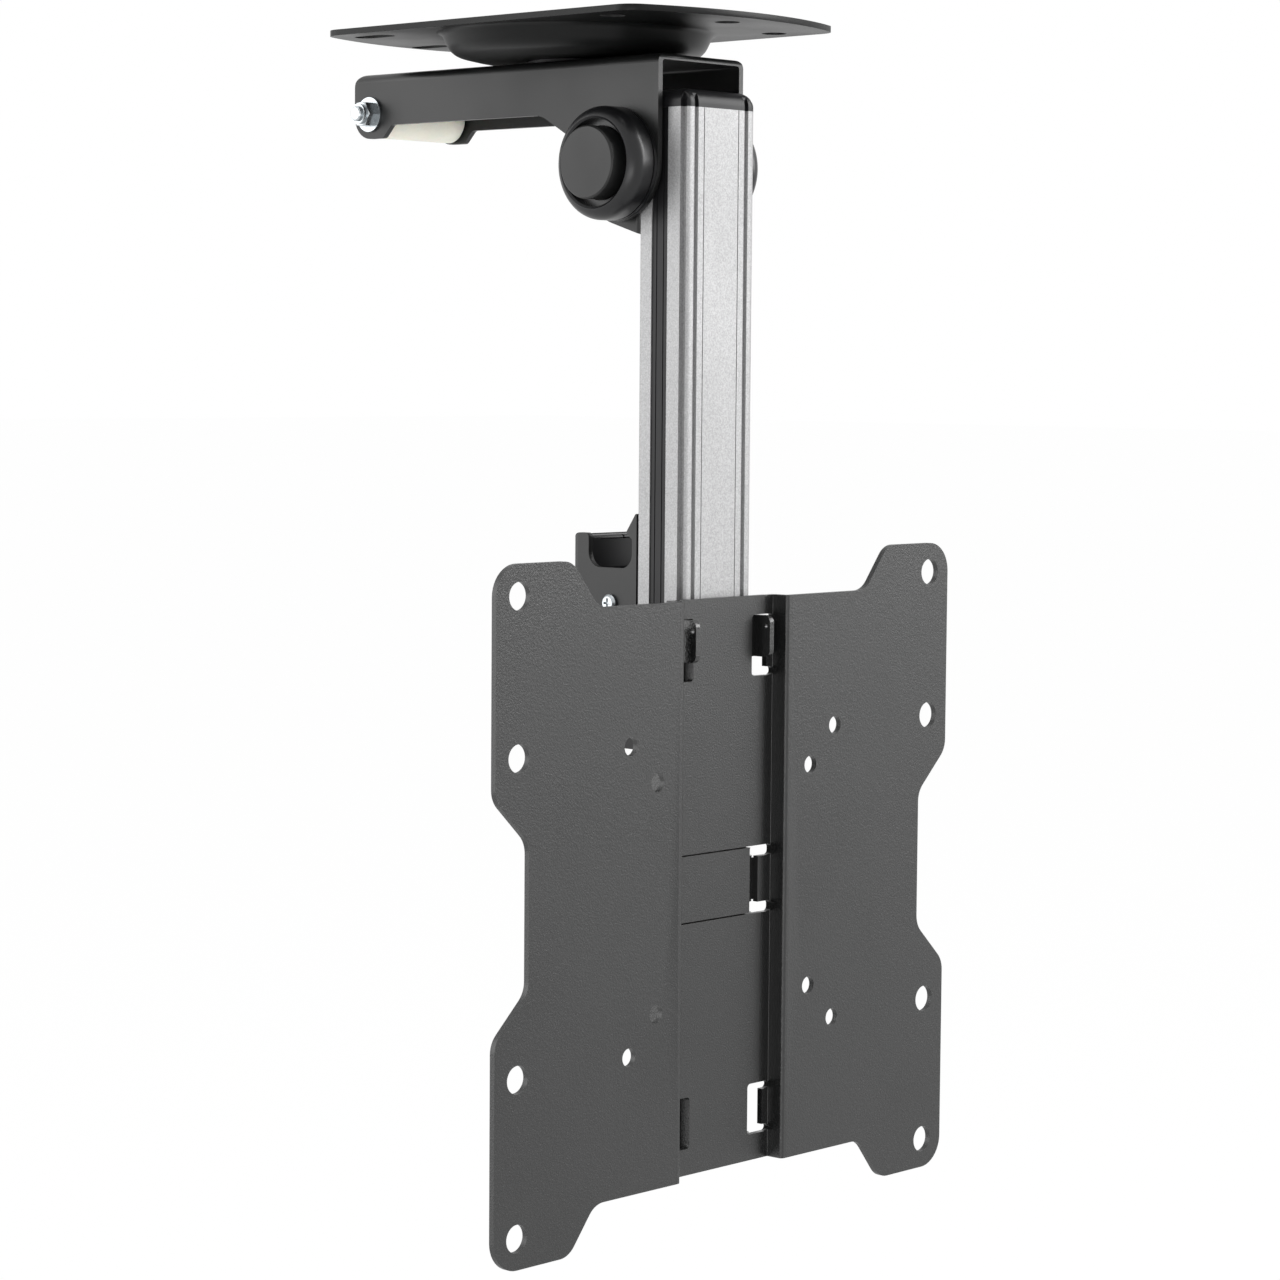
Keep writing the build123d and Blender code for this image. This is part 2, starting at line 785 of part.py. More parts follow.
with BuildPart() as column_rear_rail:
    with BuildSketch(Plane.XY.offset(column_bottom_z)):
        with Locations((0, (core_rear_y + column_rear_y) / 2)):
            outer = Rectangle(2 * column_half_width, column_rear_y - core_rear_y)
        fillet(outer.vertices().group_by(Axis.Y)[-1], rear_corner_radius)
        with Locations((0, (slot_cavity_front_y + slot_cavity_rear_y) / 2)):
            Rectangle(2 * slot_cavity_half_width, slot_cavity_rear_y - slot_cavity_front_y, mode=Mode.SUBTRACT)
        with Locations((0, (slot_cavity_rear_y + column_rear_y) / 2)):
            Rectangle(2 * slot_half_width, slot_lip, mode=Mode.SUBTRACT)
    extrude(amount=column_top_z - column_bottom_z)
save(column_rear_rail, "column_rear_rail")

# Domed cap on the column's top, with plugs in the core's outer cells
plug_width = cell_width - passing_clearance
plug_depth = cell_depth - passing_clearance
with BuildPart() as top_end_cap:
    with BuildSketch(Plane.XY.offset(column_top_z)):
        with Locations((0, (column_front_y + column_rear_y) / 2)):
            Rectangle(2 * column_half_width, column_rear_y - column_front_y)
    extrude(amount=cap_rise)
    upright = top_end_cap.edges().filter_by(Axis.Z)
    fillet(upright.group_by(Axis.Y)[0], cover_corner_radius)
    fillet(top_end_cap.faces().sort_by(Axis.Z)[-1].edges(), cap_edge_radius)
    with BuildSketch(Plane.XY.offset(column_top_z)):
        for side in (-1, 1):
            with Locations((side * groove_x, column_front_y + groove_depth / 2)):
                Rectangle(groove_width, groove_depth)
            with Locations((side * corner_groove_x, corner_groove_y)):
                Rectangle(corner_groove_depth, corner_groove_width)
    extrude(amount=cap_rise, mode=Mode.SUBTRACT)
    with BuildSketch(Plane.XY.offset(column_top_z - cap_plug_length)):
        with Locations((0, core_y)):
            with GridLocations(2 * (cell_width + core_rib), 0, 2, 1):
                Rectangle(plug_width, plug_depth)
    extrude(amount=cap_plug_length)
save(top_end_cap, "top_end_cap")

with BuildPart() as bottom_end_cap:
    with BuildSketch(Plane.XY.offset(column_bottom_z)):
        with Locations((0, (core_front_y + column_rear_y) / 2)):
            Rectangle(2 * column_half_width, column_rear_y - core_front_y)
    extrude(amount=-bottom_cap_rise)
    fillet(bottom_end_cap.faces().sort_by(Axis.Z)[0].edges(), rear_corner_radius)
    with BuildSketch(Plane.XY.offset(column_bottom_z)):
        with Locations((0, core_y)):
            with GridLocations(2 * (cell_width + core_rib), 0, 2, 1):
                Rectangle(plug_width, plug_depth)
    extrude(amount=cap_plug_length)
save(bottom_end_cap, "bottom_end_cap")

# Hinge bracket: folded sheet on the column's back with two rounded cheeks round the pivot
bracket_section = bent_strip(
    [
        (-bracket_half_width, pivot_y + bracket_disc_radius),
        (-bracket_half_width, column_rear_y),
        (bracket_half_width, column_rear_y),
        (bracket_half_width, pivot_y + bracket_disc_radius),
    ],
    sheet + ease,
    Side.LEFT,
)
with BuildPart() as hinge_bracket:
    with BuildSketch(Plane.XY.offset(bracket_bottom_z)):
        add(bracket_section)
    extrude(amount=pivot_z + bracket_disc_radius - bracket_bottom_z)
    with BuildSketch(Plane.YZ):
        with Locations((pivot_y, pivot_z)):
            Circle(bracket_disc_radius)
        with BuildLine():
            slope = radians(bracket_back_slope)
            tangent_point = (
                pivot_y + bracket_disc_radius * sin(slope),
                pivot_z - bracket_disc_radius * cos(slope),
            )
            Polyline(
                (column_rear_y, bracket_bottom_z),
                tangent_point,
                (pivot_y, pivot_z),
                (column_rear_y, pivot_z),
                close=True,
            )
        make_face()
        with Locations((column_rear_y - bracket_disc_radius, pivot_z)):
            Rectangle(2 * bracket_disc_radius, 4 * bracket_disc_radius, mode=Mode.SUBTRACT)
    extrude(amount=bracket_half_width + ease, both=True, mode=Mode.INTERSECT)
    hole_on_x(pivot_y, pivot_z, pivot_sleeve_radius + shaft_clearance, bracket_half_width + ease)
    with BuildSketch(Plane.XZ.offset(-column_rear_y + ease)):
        for screw_z in bracket_screw_z:
            with Locations((0, screw_z)):
                Circle(bracket_screw_radius + screw_clearance)
    extrude(amount=-sheet - 2 * ease, mode=Mode.SUBTRACT)
save(hinge_bracket, "hinge_bracket")

# Screws of the bracket and the nut plate in the column's slot
nut_plate_front_y = slot_cavity_front_y + passing_clearance
with BuildPart() as bracket_screws:
    for screw_z in bracket_screw_z:
        with BuildSketch(Plane.XZ.offset(-bracket_web_rear_y)):
            with Locations((0, screw_z)):
                Circle(bracket_screw_head_radius)
        extrude(amount=-bracket_screw_head_height)
        with BuildSketch(Plane.XZ.offset(-bracket_web_rear_y)):
            with Locations((0, screw_z)):
                Circle(bracket_screw_radius)
        extrude(amount=bracket_web_rear_y - nut_plate_front_y)
save(bracket_screws, "bracket_screws")

with BuildPart() as hinge_nut_plate:
    with BuildSketch(Plane.XZ.offset(-slot_cavity_rear_y)):
        with Locations((0, (nut_plate_top_z + bracket_bottom_z) / 2)):
            Rectangle(2 * (slot_cavity_half_width - passing_clearance), nut_plate_top_z - bracket_bottom_z)
        for screw_z in bracket_screw_z:
            with Locations((0, screw_z)):
                Circle(bracket_screw_radius + screw_clearance, mode=Mode.SUBTRACT)
    extrude(amount=slot_cavity_rear_y - nut_plate_front_y)
save(hinge_nut_plate, "hinge_nut_plate")

# Screen plate with a sunk middle
vesa_section = bent_strip(
    [
        (-vesa_half, vesa_front_y),
        (-vesa_joggle_outer_x, vesa_front_y),
        (-vesa_joggle_inner_x, vesa_floor_front_y),
        (vesa_joggle_inner_x, vesa_floor_front_y),
        (vesa_joggle_outer_x, vesa_front_y),
        (vesa_half, vesa_front_y),
    ],
    vesa_bend_radius,
    Side.LEFT,
)
with BuildPart() as vesa_plate:
    with BuildSketch(Plane.XY.offset(vesa_z - vesa_half)):
        add(vesa_section)
    extrude(amount=2 * vesa_half)
    ear_run = (vesa_half - vesa_web_half_height) / tan(radians(vesa_ear_slope))
    waist_run = (vesa_half - vesa_waist_half_width) / tan(radians(vesa_waist_slope))
    quarter = [
        (vesa_ear_step_x, vesa_web_half_height),
        (vesa_ear_step_x + ear_run, vesa_half),
        (vesa_half, vesa_half),
        (vesa_half, vesa_waist_step_z + waist_run),
        (vesa_waist_half_width, vesa_waist_step_z),
    ]
    outline = quarter + [(x, -z) for x, z in reversed(quarter)]
    outline = outline + [(-x, z) for x, z in reversed(outline)]
    blends = [vesa_blend_radius] * 2 + [vesa_corner_radius] + [vesa_blend_radius] * 2
    with BuildSketch(Plane.XZ.offset(-vesa_floor_rear_y)):
        with BuildLine():
            FilletPolyline(*[(x, vesa_z + z) for x, z in outline], radius=blends * 4, close=True)
        make_face()
        with Locations((0, vesa_z)):
            for spread_x, spread_z, radius in (
                (vesa_200, vesa_200, big_hole_radius),
                (vesa_200, vesa_100, big_hole_radius),
                (vesa_100, vesa_100, small_hole_radius),
                (vesa_75, vesa_75, small_hole_radius),
            ):
                with GridLocations(spread_x, spread_z, 2, 2):
                    Circle(radius, mode=Mode.SUBTRACT)
            Rectangle(2 * vesa_joggle_inner_x, 2 * window_half_height, mode=Mode.SUBTRACT)
            for low, high in ((lower_slot_low, lower_slot_high), (upper_slot_low, upper_slot_high)):
                with Locations((0, (low + high) / 2)):
                    with GridLocations(slot_inner_x + slot_outer_x, 0, 2, 1):
                        RectangleRounded(
                            slot_outer_x - slot_inner_x, high - low, slot_corner_radius, mode=Mode.SUBTRACT
                        )
    extrude(amount=vesa_floor_rear_y - vesa_front_y, mode=Mode.INTERSECT)
save(vesa_plate, "vesa_plate")

# Carrier: folded sheet seated on the back of the plate's sunk middle, its tabs through the slots
carrier_section = bent_strip(
    [
        (-carrier_half_width, carrier_rear_y),
        (-carrier_half_width, vesa_floor_rear_y),
        (carrier_half_width, vesa_floor_rear_y),
        (carrier_half_width, carrier_rear_y),
    ],
    sheet + ease,
    Side.LEFT,
)
with BuildSketch() as tab_outline:
    for low, high in (
        (lower_tab_low, lower_tab_high),
        (-middle_tab_half, middle_tab_half),
        (upper_tab_low, upper_tab_high),
    ):
        tab_rear_y = carrier_web_rear_y + ease
        with Locations(((carrier_tab_front_y + tab_rear_y) / 2, vesa_z + (low + high) / 2)):
            tab = Rectangle(tab_rear_y - carrier_tab_front_y, high - low)
        fillet(tab.vertices().group_by(Axis.X)[0], tab_corner_radius)
    with Locations((vesa_front_y + sheet + ease, vesa_z + upper_tab_hole_z)):
        Circle(upper_tab_hole_radius, mode=Mode.SUBTRACT)
with BuildPart() as plate_carrier:
    with BuildSketch(Plane.XY.offset(carrier_bottom_z)):
        add(carrier_section)
    extrude(amount=2 * carrier_half_height)
    for bolt_z in (-carrier_bolt_z, carrier_bolt_z):
        hole_on_x(core_y, vesa_z + bolt_z, carrier_bolt_radius + screw_clearance, carrier_half_width + ease)
    for inner_x in (-carrier_half_width, carrier_inner_half_width):
        with BuildSketch(Plane.YZ.offset(inner_x)):
            add(tab_outline.sketch)
        extrude(amount=sheet)
save(plate_carrier, "plate_carrier")

with BuildPart() as carrier_bolts:
    for bolt_z in (-carrier_bolt_z, carrier_bolt_z):
        z = vesa_z + bolt_z
        disc_on_x(carrier_half_width, core_y, z, carrier_head_radius, carrier_head_height, 1)
        disc_on_x(
            carrier_half_width,
            core_y,
            z,
            carrier_bolt_radius,
            2 * carrier_half_width + carrier_nut_height + ease,
            -1,
        )
save(carrier_bolts, "carrier_bolts")

with BuildPart() as carrier_nuts:
    for bolt_z in (-carrier_bolt_z, carrier_bolt_z):
        nut_on_x(
            -carrier_half_width,
            core_y,
            vesa_z + bolt_z,
            carrier_nut_flats,
            carrier_nut_height,
            carrier_bolt_radius + screw_clearance,
            -1,
        )
save(carrier_nuts, "carrier_nuts")

# Latch carriage: folded sheet behind the column with a notch for the roller and a tooth above it
carriage_section = bent_strip(
    [
        (-carriage_half_width, carriage_strip_front_y),
        (-carriage_half_width, carriage_rear_y),
        (carriage_half_width, carriage_rear_y),
        (carriage_half_width, carriage_strip_front_y),
    ],
    carriage_bend_radius,
    Side.RIGHT,
)
with BuildPart() as latch_carriage:
    with BuildSketch(Plane.XY.offset(carriage_bottom_z)):
        add(carriage_section)
    extrude(amount=tooth_top_z - carriage_bottom_z)
    with BuildSketch(Plane.YZ):
        with BuildLine():
            FilletPolyline(
                (carriage_strip_front_y, carriage_bottom_z),
                (carriage_strip_front_y, tooth_top_z),
                (carriage_strip_rear_y + tooth_reach, notch_bottom_z + tooth_tip_rise),
                (carriage_strip_rear_y, notch_bottom_z + tooth_root_rise),
                (carriage_strip_rear_y, notch_bottom_z),
                (notch_rear_y, notch_bottom_z),
                (notch_rear_y, carriage_top_z),
                (carriage_rear_y, carriage_top_z),
                (carriage_rear_y, carriage_bottom_z),
                radius=(
                    tooth_top_radius,
                    tooth_tip_radius,
                    tooth_tip_radius,
                    notch_corner_radius,
                    notch_corner_radius,
                    carriage_top_radius,
                    carriage_corner_radius,
                ),
            )
            Line((carriage_rear_y, carriage_bottom_z), (carriage_strip_front_y, carriage_bottom_z))
        make_face()
    extrude(amount=carriage_half_width + ease, both=True, mode=Mode.INTERSECT)
    grip_front_y = carriage_rear_y - grip_depth
    block(
        (-carriage_inner_half_width + ease, grip_front_y, carriage_bottom_z),
        (carriage_inner_half_width - ease, carriage_web_y, carriage_bottom_z + sheet),
    )
    upright = latch_carriage.edges().filter_by(Axis.Z)
    fillet(upright.filter_by_position(Axis.Y, grip_front_y, grip_front_y), grip_corner_radius)
    hole_on_x(latch_screw_y, latch_screw_z, latch_screw_radius + screw_clearance, carriage_half_width + ease)
    with BuildSketch(Plane.XZ.offset(-carriage_rear_y)):
        with Locations((0, bumper_z)):
            Circle(bumper_stud_radius + screw_clearance)
    extrude(amount=sheet, mode=Mode.SUBTRACT)
save(latch_carriage, "latch_carriage")


def slot_block(top_z, bottom_z, half_width, rear_y):
    """Block behind the column with a neck and a foot that ride in the column's slot."""
    foot_half_width = slot_cavity_half_width - passing_clearance
    neck_half_width = slot_half_width - passing_clearance
    block((-half_width, carriage_strip_front_y, bottom_z), (half_width, rear_y, top_z))
    block(
        (-neck_half_width, slot_cavity_rear_y - passing_clearance - ease, bottom_z),
        (neck_half_width, carriage_strip_front_y, top_z),
    )
    block(
        (-foot_half_width, slot_cavity_front_y + passing_clearance, bottom_z),
        (foot_half_width, slot_cavity_rear_y - passing_clearance, top_z),
    )


# Slider block inside the carriage
with BuildPart() as latch_slider_block:
    slot_block(block_top_z, block_bottom_z, carriage_inner_half_width, carriage_strip_front_y + block_depth)
    hole_on_x(latch_screw_y, latch_screw_z, latch_screw_radius + screw_clearance, carriage_half_width)
save(latch_slider_block, "latch_slider_block")

with BuildPart() as latch_screws:
    for side in (-1, 1):
        disc_on_x(
            side * carriage_half_width,
            latch_screw_y,
            latch_screw_z,
            latch_screw_head_radius,
            latch_screw_head_height,
            side,
        )
        disc_on_x(
            side * carriage_half_width,
            latch_screw_y,
            latch_screw_z,
            latch_screw_radius,
            latch_screw_length,
            -side,
        )
    crowns = latch_screws.edges().filter_by(GeomType.CIRCLE).sort_by(Axis.X)
    chamfer([crowns[0], crowns[-1]], latch_screw_head_bevel)
save(latch_screws, "latch_screws")

# Rubber bumper that meets the roller
with BuildPart() as latch_bumper:
    block(
        (-bumper_half_width, notch_rear_y, bumper_top_z - bumper_height),
        (bumper_half_width, carriage_web_y, bumper_top_z),
    )
    with BuildSketch(Plane.XZ.offset(-carriage_web_y)):
        with Locations((0, bumper_z)):
            Circle(bumper_stud_radius)
    extrude(amount=-sheet)
save(latch_bumper, "latch_bumper")

# Fixed stop in the column's slot, under the carriage's return spring
stop_rear_y = carriage_strip_front_y + stop_depth
with BuildPart() as latch_stop:
    slot_block(stop_top_z, stop_top_z - stop_height, stop_half_width, stop_rear_y)
    with BuildSketch(Plane.XZ.offset(-stop_rear_y)):
        with Locations((0, stop_z)):
            Circle(stop_screw_radius + screw_clearance)
    extrude(amount=stop_rear_y - slot_cavity_front_y, mode=Mode.SUBTRACT)
save(latch_stop, "latch_stop")

with BuildPart() as stop_screw:
    for plane_y, radius, depth in (
        (stop_rear_y, stop_screw_head_radius, -stop_screw_head_height),
        (stop_rear_y, stop_screw_radius, stop_rear_y - slot_cavity_front_y),
    ):
        with BuildSketch(Plane.XZ.offset(-plane_y)):
            with Locations((0, stop_z)):
                Circle(radius)
        extrude(amount=depth)
save(stop_screw, "stop_screw")

latch_spring_length = stop_drop - 2 * spring_wire - 2 * seat_gap
make_spring(
    (0, carriage_strip_front_y + spring_inset, stop_top_z + spring_wire + seat_gap),
    (0, 0, 1),
    latch_spring_length,
    spring_radius,
    spring_wire,
    spring_turns,
    "latch_spring",
)
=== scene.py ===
"""Folding ceiling mount for a flat screen: finishes, small modelled hardware, studio and camera.

The construction comes from the frame. This file dresses its parts, models the sheet folds and the
hardware whose fine form shows, and sets the stage.
"""

import json
import math
from collections import namedtuple

import bpy
from bpy.props import FloatProperty, FloatVectorProperty, PointerProperty
from mathutils import Matrix, Vector

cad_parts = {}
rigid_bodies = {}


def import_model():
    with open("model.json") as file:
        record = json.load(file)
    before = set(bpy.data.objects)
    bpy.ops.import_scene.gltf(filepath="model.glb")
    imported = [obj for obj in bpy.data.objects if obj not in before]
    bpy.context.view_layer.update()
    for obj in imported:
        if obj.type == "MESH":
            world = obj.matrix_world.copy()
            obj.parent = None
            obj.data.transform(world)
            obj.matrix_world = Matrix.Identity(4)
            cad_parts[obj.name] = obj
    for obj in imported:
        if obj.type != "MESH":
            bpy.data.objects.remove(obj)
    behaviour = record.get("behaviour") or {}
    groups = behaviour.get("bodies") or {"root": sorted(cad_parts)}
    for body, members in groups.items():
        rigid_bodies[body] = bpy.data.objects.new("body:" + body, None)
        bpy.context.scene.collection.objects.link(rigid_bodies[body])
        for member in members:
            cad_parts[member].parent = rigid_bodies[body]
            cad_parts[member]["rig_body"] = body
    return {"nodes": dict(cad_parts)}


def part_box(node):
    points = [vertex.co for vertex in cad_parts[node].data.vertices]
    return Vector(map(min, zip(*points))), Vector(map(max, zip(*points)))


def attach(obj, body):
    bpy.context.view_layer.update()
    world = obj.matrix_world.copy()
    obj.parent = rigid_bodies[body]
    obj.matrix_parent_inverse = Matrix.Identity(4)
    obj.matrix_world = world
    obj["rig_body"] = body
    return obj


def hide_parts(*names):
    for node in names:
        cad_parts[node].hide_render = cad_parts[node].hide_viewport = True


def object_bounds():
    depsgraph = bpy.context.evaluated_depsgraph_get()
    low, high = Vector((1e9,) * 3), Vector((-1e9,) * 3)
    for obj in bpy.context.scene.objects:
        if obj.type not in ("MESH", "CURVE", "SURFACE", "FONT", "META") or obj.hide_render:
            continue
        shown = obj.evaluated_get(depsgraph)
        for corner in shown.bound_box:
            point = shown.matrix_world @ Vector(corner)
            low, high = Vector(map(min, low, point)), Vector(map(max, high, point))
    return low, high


bl_info = {
    "name": "Folding Ceiling Mount",
    "version": (1, 0, 0),
    "blender": (4, 5, 0),
    "location": "View3D > Sidebar > Mount",
    "description": "Dresses the folding ceiling mount and lights it in a plain studio",
    "category": "Object",
}

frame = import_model()
cad_low, cad_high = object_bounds()
MM = 0.001

# Which nodes take which finish
POWDER_COATED_CEILING = ("ceiling_plate",)
POWDER_COATED_ARM = ("arm_channel", "hinge_bracket", "latch_carriage")
POWDER_COATED_PLATE = ("vesa_plate", "plate_carrier")
ANODISED = ("column_front_cover", "column_rear_rail")
MOULDED_BLACK = (
    "column_core",
    "top_end_cap",
    "bottom_end_cap",
    "latch_slider_block",
    "latch_stop",
    "latch_bumper",
    "friction_disc",
)
GLOSS_RINGS = ("left_pivot_ring", "right_pivot_ring")
BUTTONS = ("left_button", "right_button")
NYLON = ("latch_roller", "thrust_washer", "friction_rings")
ZINC = (
    "swivel_bolt",
    "swivel_washer",
    "swivel_nut",
    "latch_bolt",
    "latch_washers",
    "latch_nut",
    "latch_screws",
    "pivot_sleeve",
    "pivot_bolt",
    "pivot_nut",
    "bracket_screws",
    "hinge_nut_plate",
    "carrier_bolts",
    "carrier_nuts",
    "stop_screw",
)
SPRINGS = ("left_button_spring", "right_button_spring", "latch_spring")

# Surface grain: contrast and scale of the speckle, contrast of the clouds, strength and depth of the bump
Grain = namedtuple("Grain", "speckle scale cloud strength depth")
SATIN_GRAIN = Grain(0.1, 2600.0, 0.04, 0.35, 0.00007)
TEXTURED_GRAIN = Grain(0.15, 1700.0, 0.04, 0.8, 0.00016)
BLASTED_GRAIN = Grain(0.2, 1900.0, 0.015, 0.35, 0.00008)
MOULDED_GRAIN = Grain(0.06, 3000.0, 0.05, 0.12, 0.00004)
RING_GRAIN = Grain(0.04, 900.0, 0.1, 0.03, 0.00003)
BUTTON_GRAIN = Grain(0.05, 2500.0, 0.04, 0.12, 0.00004)
NYLON_GRAIN = Grain(0.02, 900.0, 0.04, 0.08, 0.00005)
ZINC_GRAIN = Grain(0.05, 1200.0, 0.08, 0.1, 0.00004)
STEEL_GRAIN = Grain(0.05, 1500.0, 0.05, 0.1, 0.00003)
CLOUD_SCALE = 22.0
CLOUD_ROUGHNESS = 0.06
DIE_LINE_STRETCH = 0.004
DIE_LINE_DEPTH = 0.015
SPRING_STEEL = (0.35, 0.35, 0.36)

# The screen plate's middle, in millimetres: X and Z from the plate's centre, Y in the frame
plate_low, plate_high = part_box("vesa_plate")
PLATE_LOW = plate_low.z / MM
PLATE_HIGH = plate_high.z / MM
PLATE_Z = (PLATE_LOW + PLATE_HIGH) / 2
FRONT_Y = plate_low.y / MM
SHEET = 2.0
FLOOR_Y = FRONT_Y + 6.2
WEB_MARGIN = 15.0
SEAM_X = 27.0
SEAM_LAP = 0.4
STEP_TOP_X = 25.0
STEP_FOOT_X = 24.6
TOP_BEND = 1.2
FOOT_BEND = 0.15
SLOT_INNER_X = 14.3
TONGUE_X = 21.6
SLOT_OUTER_X = 24.9
SLOT_ROUND = 1.3
SLOTS = ((-86.2, -69.0, 2.6), (68.2, 88.7, 2.9))
WINDOW_X = 21.0
WINDOW_SLIT = 0.5
WINDOW_EAR_X = 18.3
WINDOW_HALF = 11.4
WINDOW_LEG = 3.7
WINDOW_LAP = 1.0

# Cutters run past the sheet by these, in millimetres
NEAR_REACH = 2.0
FAR_REACH = 4.0
MIDDLE_REACH = 6.0

# The coat is smooth beside the step, in millimetres: from the middle outwards, and back from the front
PLATE_FLOW = (19.3, 21.8)
CARRIER_FLOW = (15.4, 16.4)
FLOW_WALL_X = (25.2, 25.6)
FLOW_DEPTH = (0.6, 1.0)
FLOW_ROUGHNESS = 0.12

# The carrier behind the plate, in millimetres
HOOK_LOW = 74.6
HOOK_HALF_WIDTH = 22.0
HOOK_REACH = 3.0
HOOK_MARGIN = 2.0
HOOK_CLEARANCE = 0.01
RELIEF_DEPTH = 4.0
RELIEF_REACH = 1.0

# Hardware, in millimetres
LINER_HALF_WIDTH = 14.8
LINER_DROP = 7.9
LINER_ROUND = 1.2
LINER_EDGE = 0.25
GROOVE_HALF_WIDTH = 0.25
GROOVE_DEPTH = 1.2
CROSS_REACH = 1.6
CROSS_ARM = 0.36
CROSS_DEPTH = 1.1
SCREW_EDGE = 0.12
TOOL_REACH = 1.0
THREAD_RADIUS = 2.3
THREAD_PITCH = 0.8
THREAD_HEIGHT = 0.336
THREAD_START = 0.5

# Meshes
MERGE_DISTANCE = 0.000002
FLAT_ANGLE = math.radians(0.5)
SHARP_ANGLE = math.radians(40)
SMOOTH_ANGLE = math.radians(50)

# Stage, in metres and watts
WHITE = (1.0, 1.0, 1.0, 1.0)
FLOOR_GREY = (0.85, 0.85, 0.85, 1.0)
FLOOR_GLOW = 1.01
FLOOR_GLOW_SHARE = 0.97
LIGHT_AIM = Vector((0.0, -0.03, -0.22))
Lamp = namedtuple("Lamp", "name place width height power")
LAMPS = (
    Lamp("front_box", (1.55, -1.55, 0.85), 1.0, 1.9, 51.0),
    Lamp("side_box", (-1.6, 1.55, 0.1), 2.2, 2.2, 30.0),
    Lamp("top_box", (-0.2, -0.4, 2.2), 1.8, 1.8, 12.0),
    Lamp("low_box", (-1.5, -0.9, -0.95), 1.4, 1.4, 24.0),
)


def colour(name, description, default):
    """Colour property with this file's usual limits."""
    return FloatVectorProperty(
        name=name, description=description, subtype="COLOR", size=3, min=0.0, max=1.0, default=default
    )


def share(name, description, default):
    """Property between 0 and 1."""
    return FloatProperty(name=name, description=description, min=0.0, max=1.0, default=default)


def angle(name, description, degrees):
    """Angle property, its default in degrees."""
    return FloatProperty(name=name, description=description, subtype="ANGLE", default=math.radians(degrees))


class MountFinishes(bpy.types.PropertyGroup):
    """Colours and gloss of the mount's finishes"""

    arm_coat: colour("Arm coat", "Satin coat of the arm and ceiling plate", (0.008, 0.0083, 0.0083))
    arm_coat_roughness: share("Arm coat roughness", "Roughness of the satin powder coat", 0.38)
    plate_coat: colour("Plate coat", "Fine-textured coat of the screen plate", (0.012, 0.0123, 0.0123))
    plate_coat_roughness: share("Plate coat roughness", "Roughness of the textured coat", 0.40)
    anodised: colour("Anodised", "Bead-blasted silver of the column", (0.385, 0.385, 0.388))
    anodised_roughness: share("Anodised roughness", "Roughness of the blasted silver", 0.5)
    moulded_black: colour("Moulded black", "Plastic of the caps, core and liner", (0.012, 0.012, 0.013))
    ring_black: colour("Ring black", "Glossy plastic of the pivot rings", (0.008, 0.008, 0.009))
    button_grey: colour("Button grey", "Satin plastic of the push buttons", (0.009, 0.0092, 0.0092))
    nylon: colour("Nylon", "Cream nylon of the roller and discs", (0.97, 0.95, 0.82))
    zinc: colour("Zinc", "Bright zinc of the fasteners", (0.44, 0.465, 0.48))


class MountSizes(bpy.types.PropertyGroup):
    """Fine sizes that the finishing adds"""

    edge_round: FloatProperty(
        name="Edge round",
        description="Rounding of sheet edges",
        subtype="DISTANCE",
        unit="LENGTH",
        default=0.0003,
    )


class MountStudio(bpy.types.PropertyGroup):
    """Camera, stage and light"""

    camera_place: FloatVectorProperty(
        name="Camera place",
        description="Where the photograph was taken from",
        subtype="TRANSLATION",
        size=3,
        default=(-0.84534, -0.83033, -0.11307),
    )
    camera_yaw: angle("Camera yaw", "Turn from +Y towards +X", 46.61)
    camera_pitch: angle("Camera pitch", "Tilt above the horizon", -4.52)
    camera_roll: angle("Camera roll", "Turn about the view", 0.44)
    lens: FloatProperty(name="Lens", description="Focal length in millimetres", default=97.70)
    sensor: FloatProperty(name="Sensor", description="Sensor width in millimetres", default=36.0)
    floor_drop: FloatProperty(
        name="Floor drop",
        description="Height of the plate's lower edge over the floor",
        subtype="DISTANCE",
        default=0.35,
    )
    floor_half_size: FloatProperty(
        name="Floor half size", description="Half the floor's width", subtype="DISTANCE", default=30.0
    )
    world_strength: FloatProperty(name="World strength", description="Light from all round", default=0.4)


# Shader helpers


def feed(tree, socket, value):
    """Link an input to an output, or set its value."""
    if isinstance(value, bpy.types.NodeSocket):
        tree.links.new(value, socket)
    else:
        socket.default_value = value


def node(tree, kind, **inputs):
    """Add a shader node and feed its inputs by name."""
    made = tree.nodes.new(kind)
    for key, value in inputs.items():
        feed(tree, made.inputs[key.replace("_", " ")], value)
    return made


def maths(tree, operation, *values):
    """Result of a Math node on numbers or outputs."""
    made = tree.nodes.new("ShaderNodeMath")
    made.operation = operation
    for socket, value in zip(made.inputs, values):
        feed(tree, socket, value)
    return made.outputs[0]


def object_place(tree):
    """Object coordinates."""
    return tree.nodes.new("ShaderNodeTexCoord").outputs["Object"]


def noise(tree, coordinates, scale, detail=2.0, roughness=0.5):
    """Noise between 0 and 1 on the given coordinates."""
    made = node(
        tree, "ShaderNodeTexNoise", Vector=coordinates, Scale=scale, Detail=detail, Roughness=roughness
    )
    return made.outputs["Fac"]


def map_range(tree, value, low, high, to_low=0.0, to_high=1.0):
    """Value carried from one range to another, each end a number or an output."""
    ends = {"From_Min": low, "From_Max": high, "To_Min": to_low, "To_Max": to_high}
    return node(tree, "ShaderNodeMapRange", Value=value, **ends).outputs["Result"]


def tinted(tree, base, gain):
    """Colour times a factor."""
    made = tree.nodes.new("ShaderNodeVectorMath")
    made.operation = "SCALE"
    feed(tree, made.inputs[0], base)
    feed(tree, made.inputs["Scale"], gain)
    return made.outputs[0]


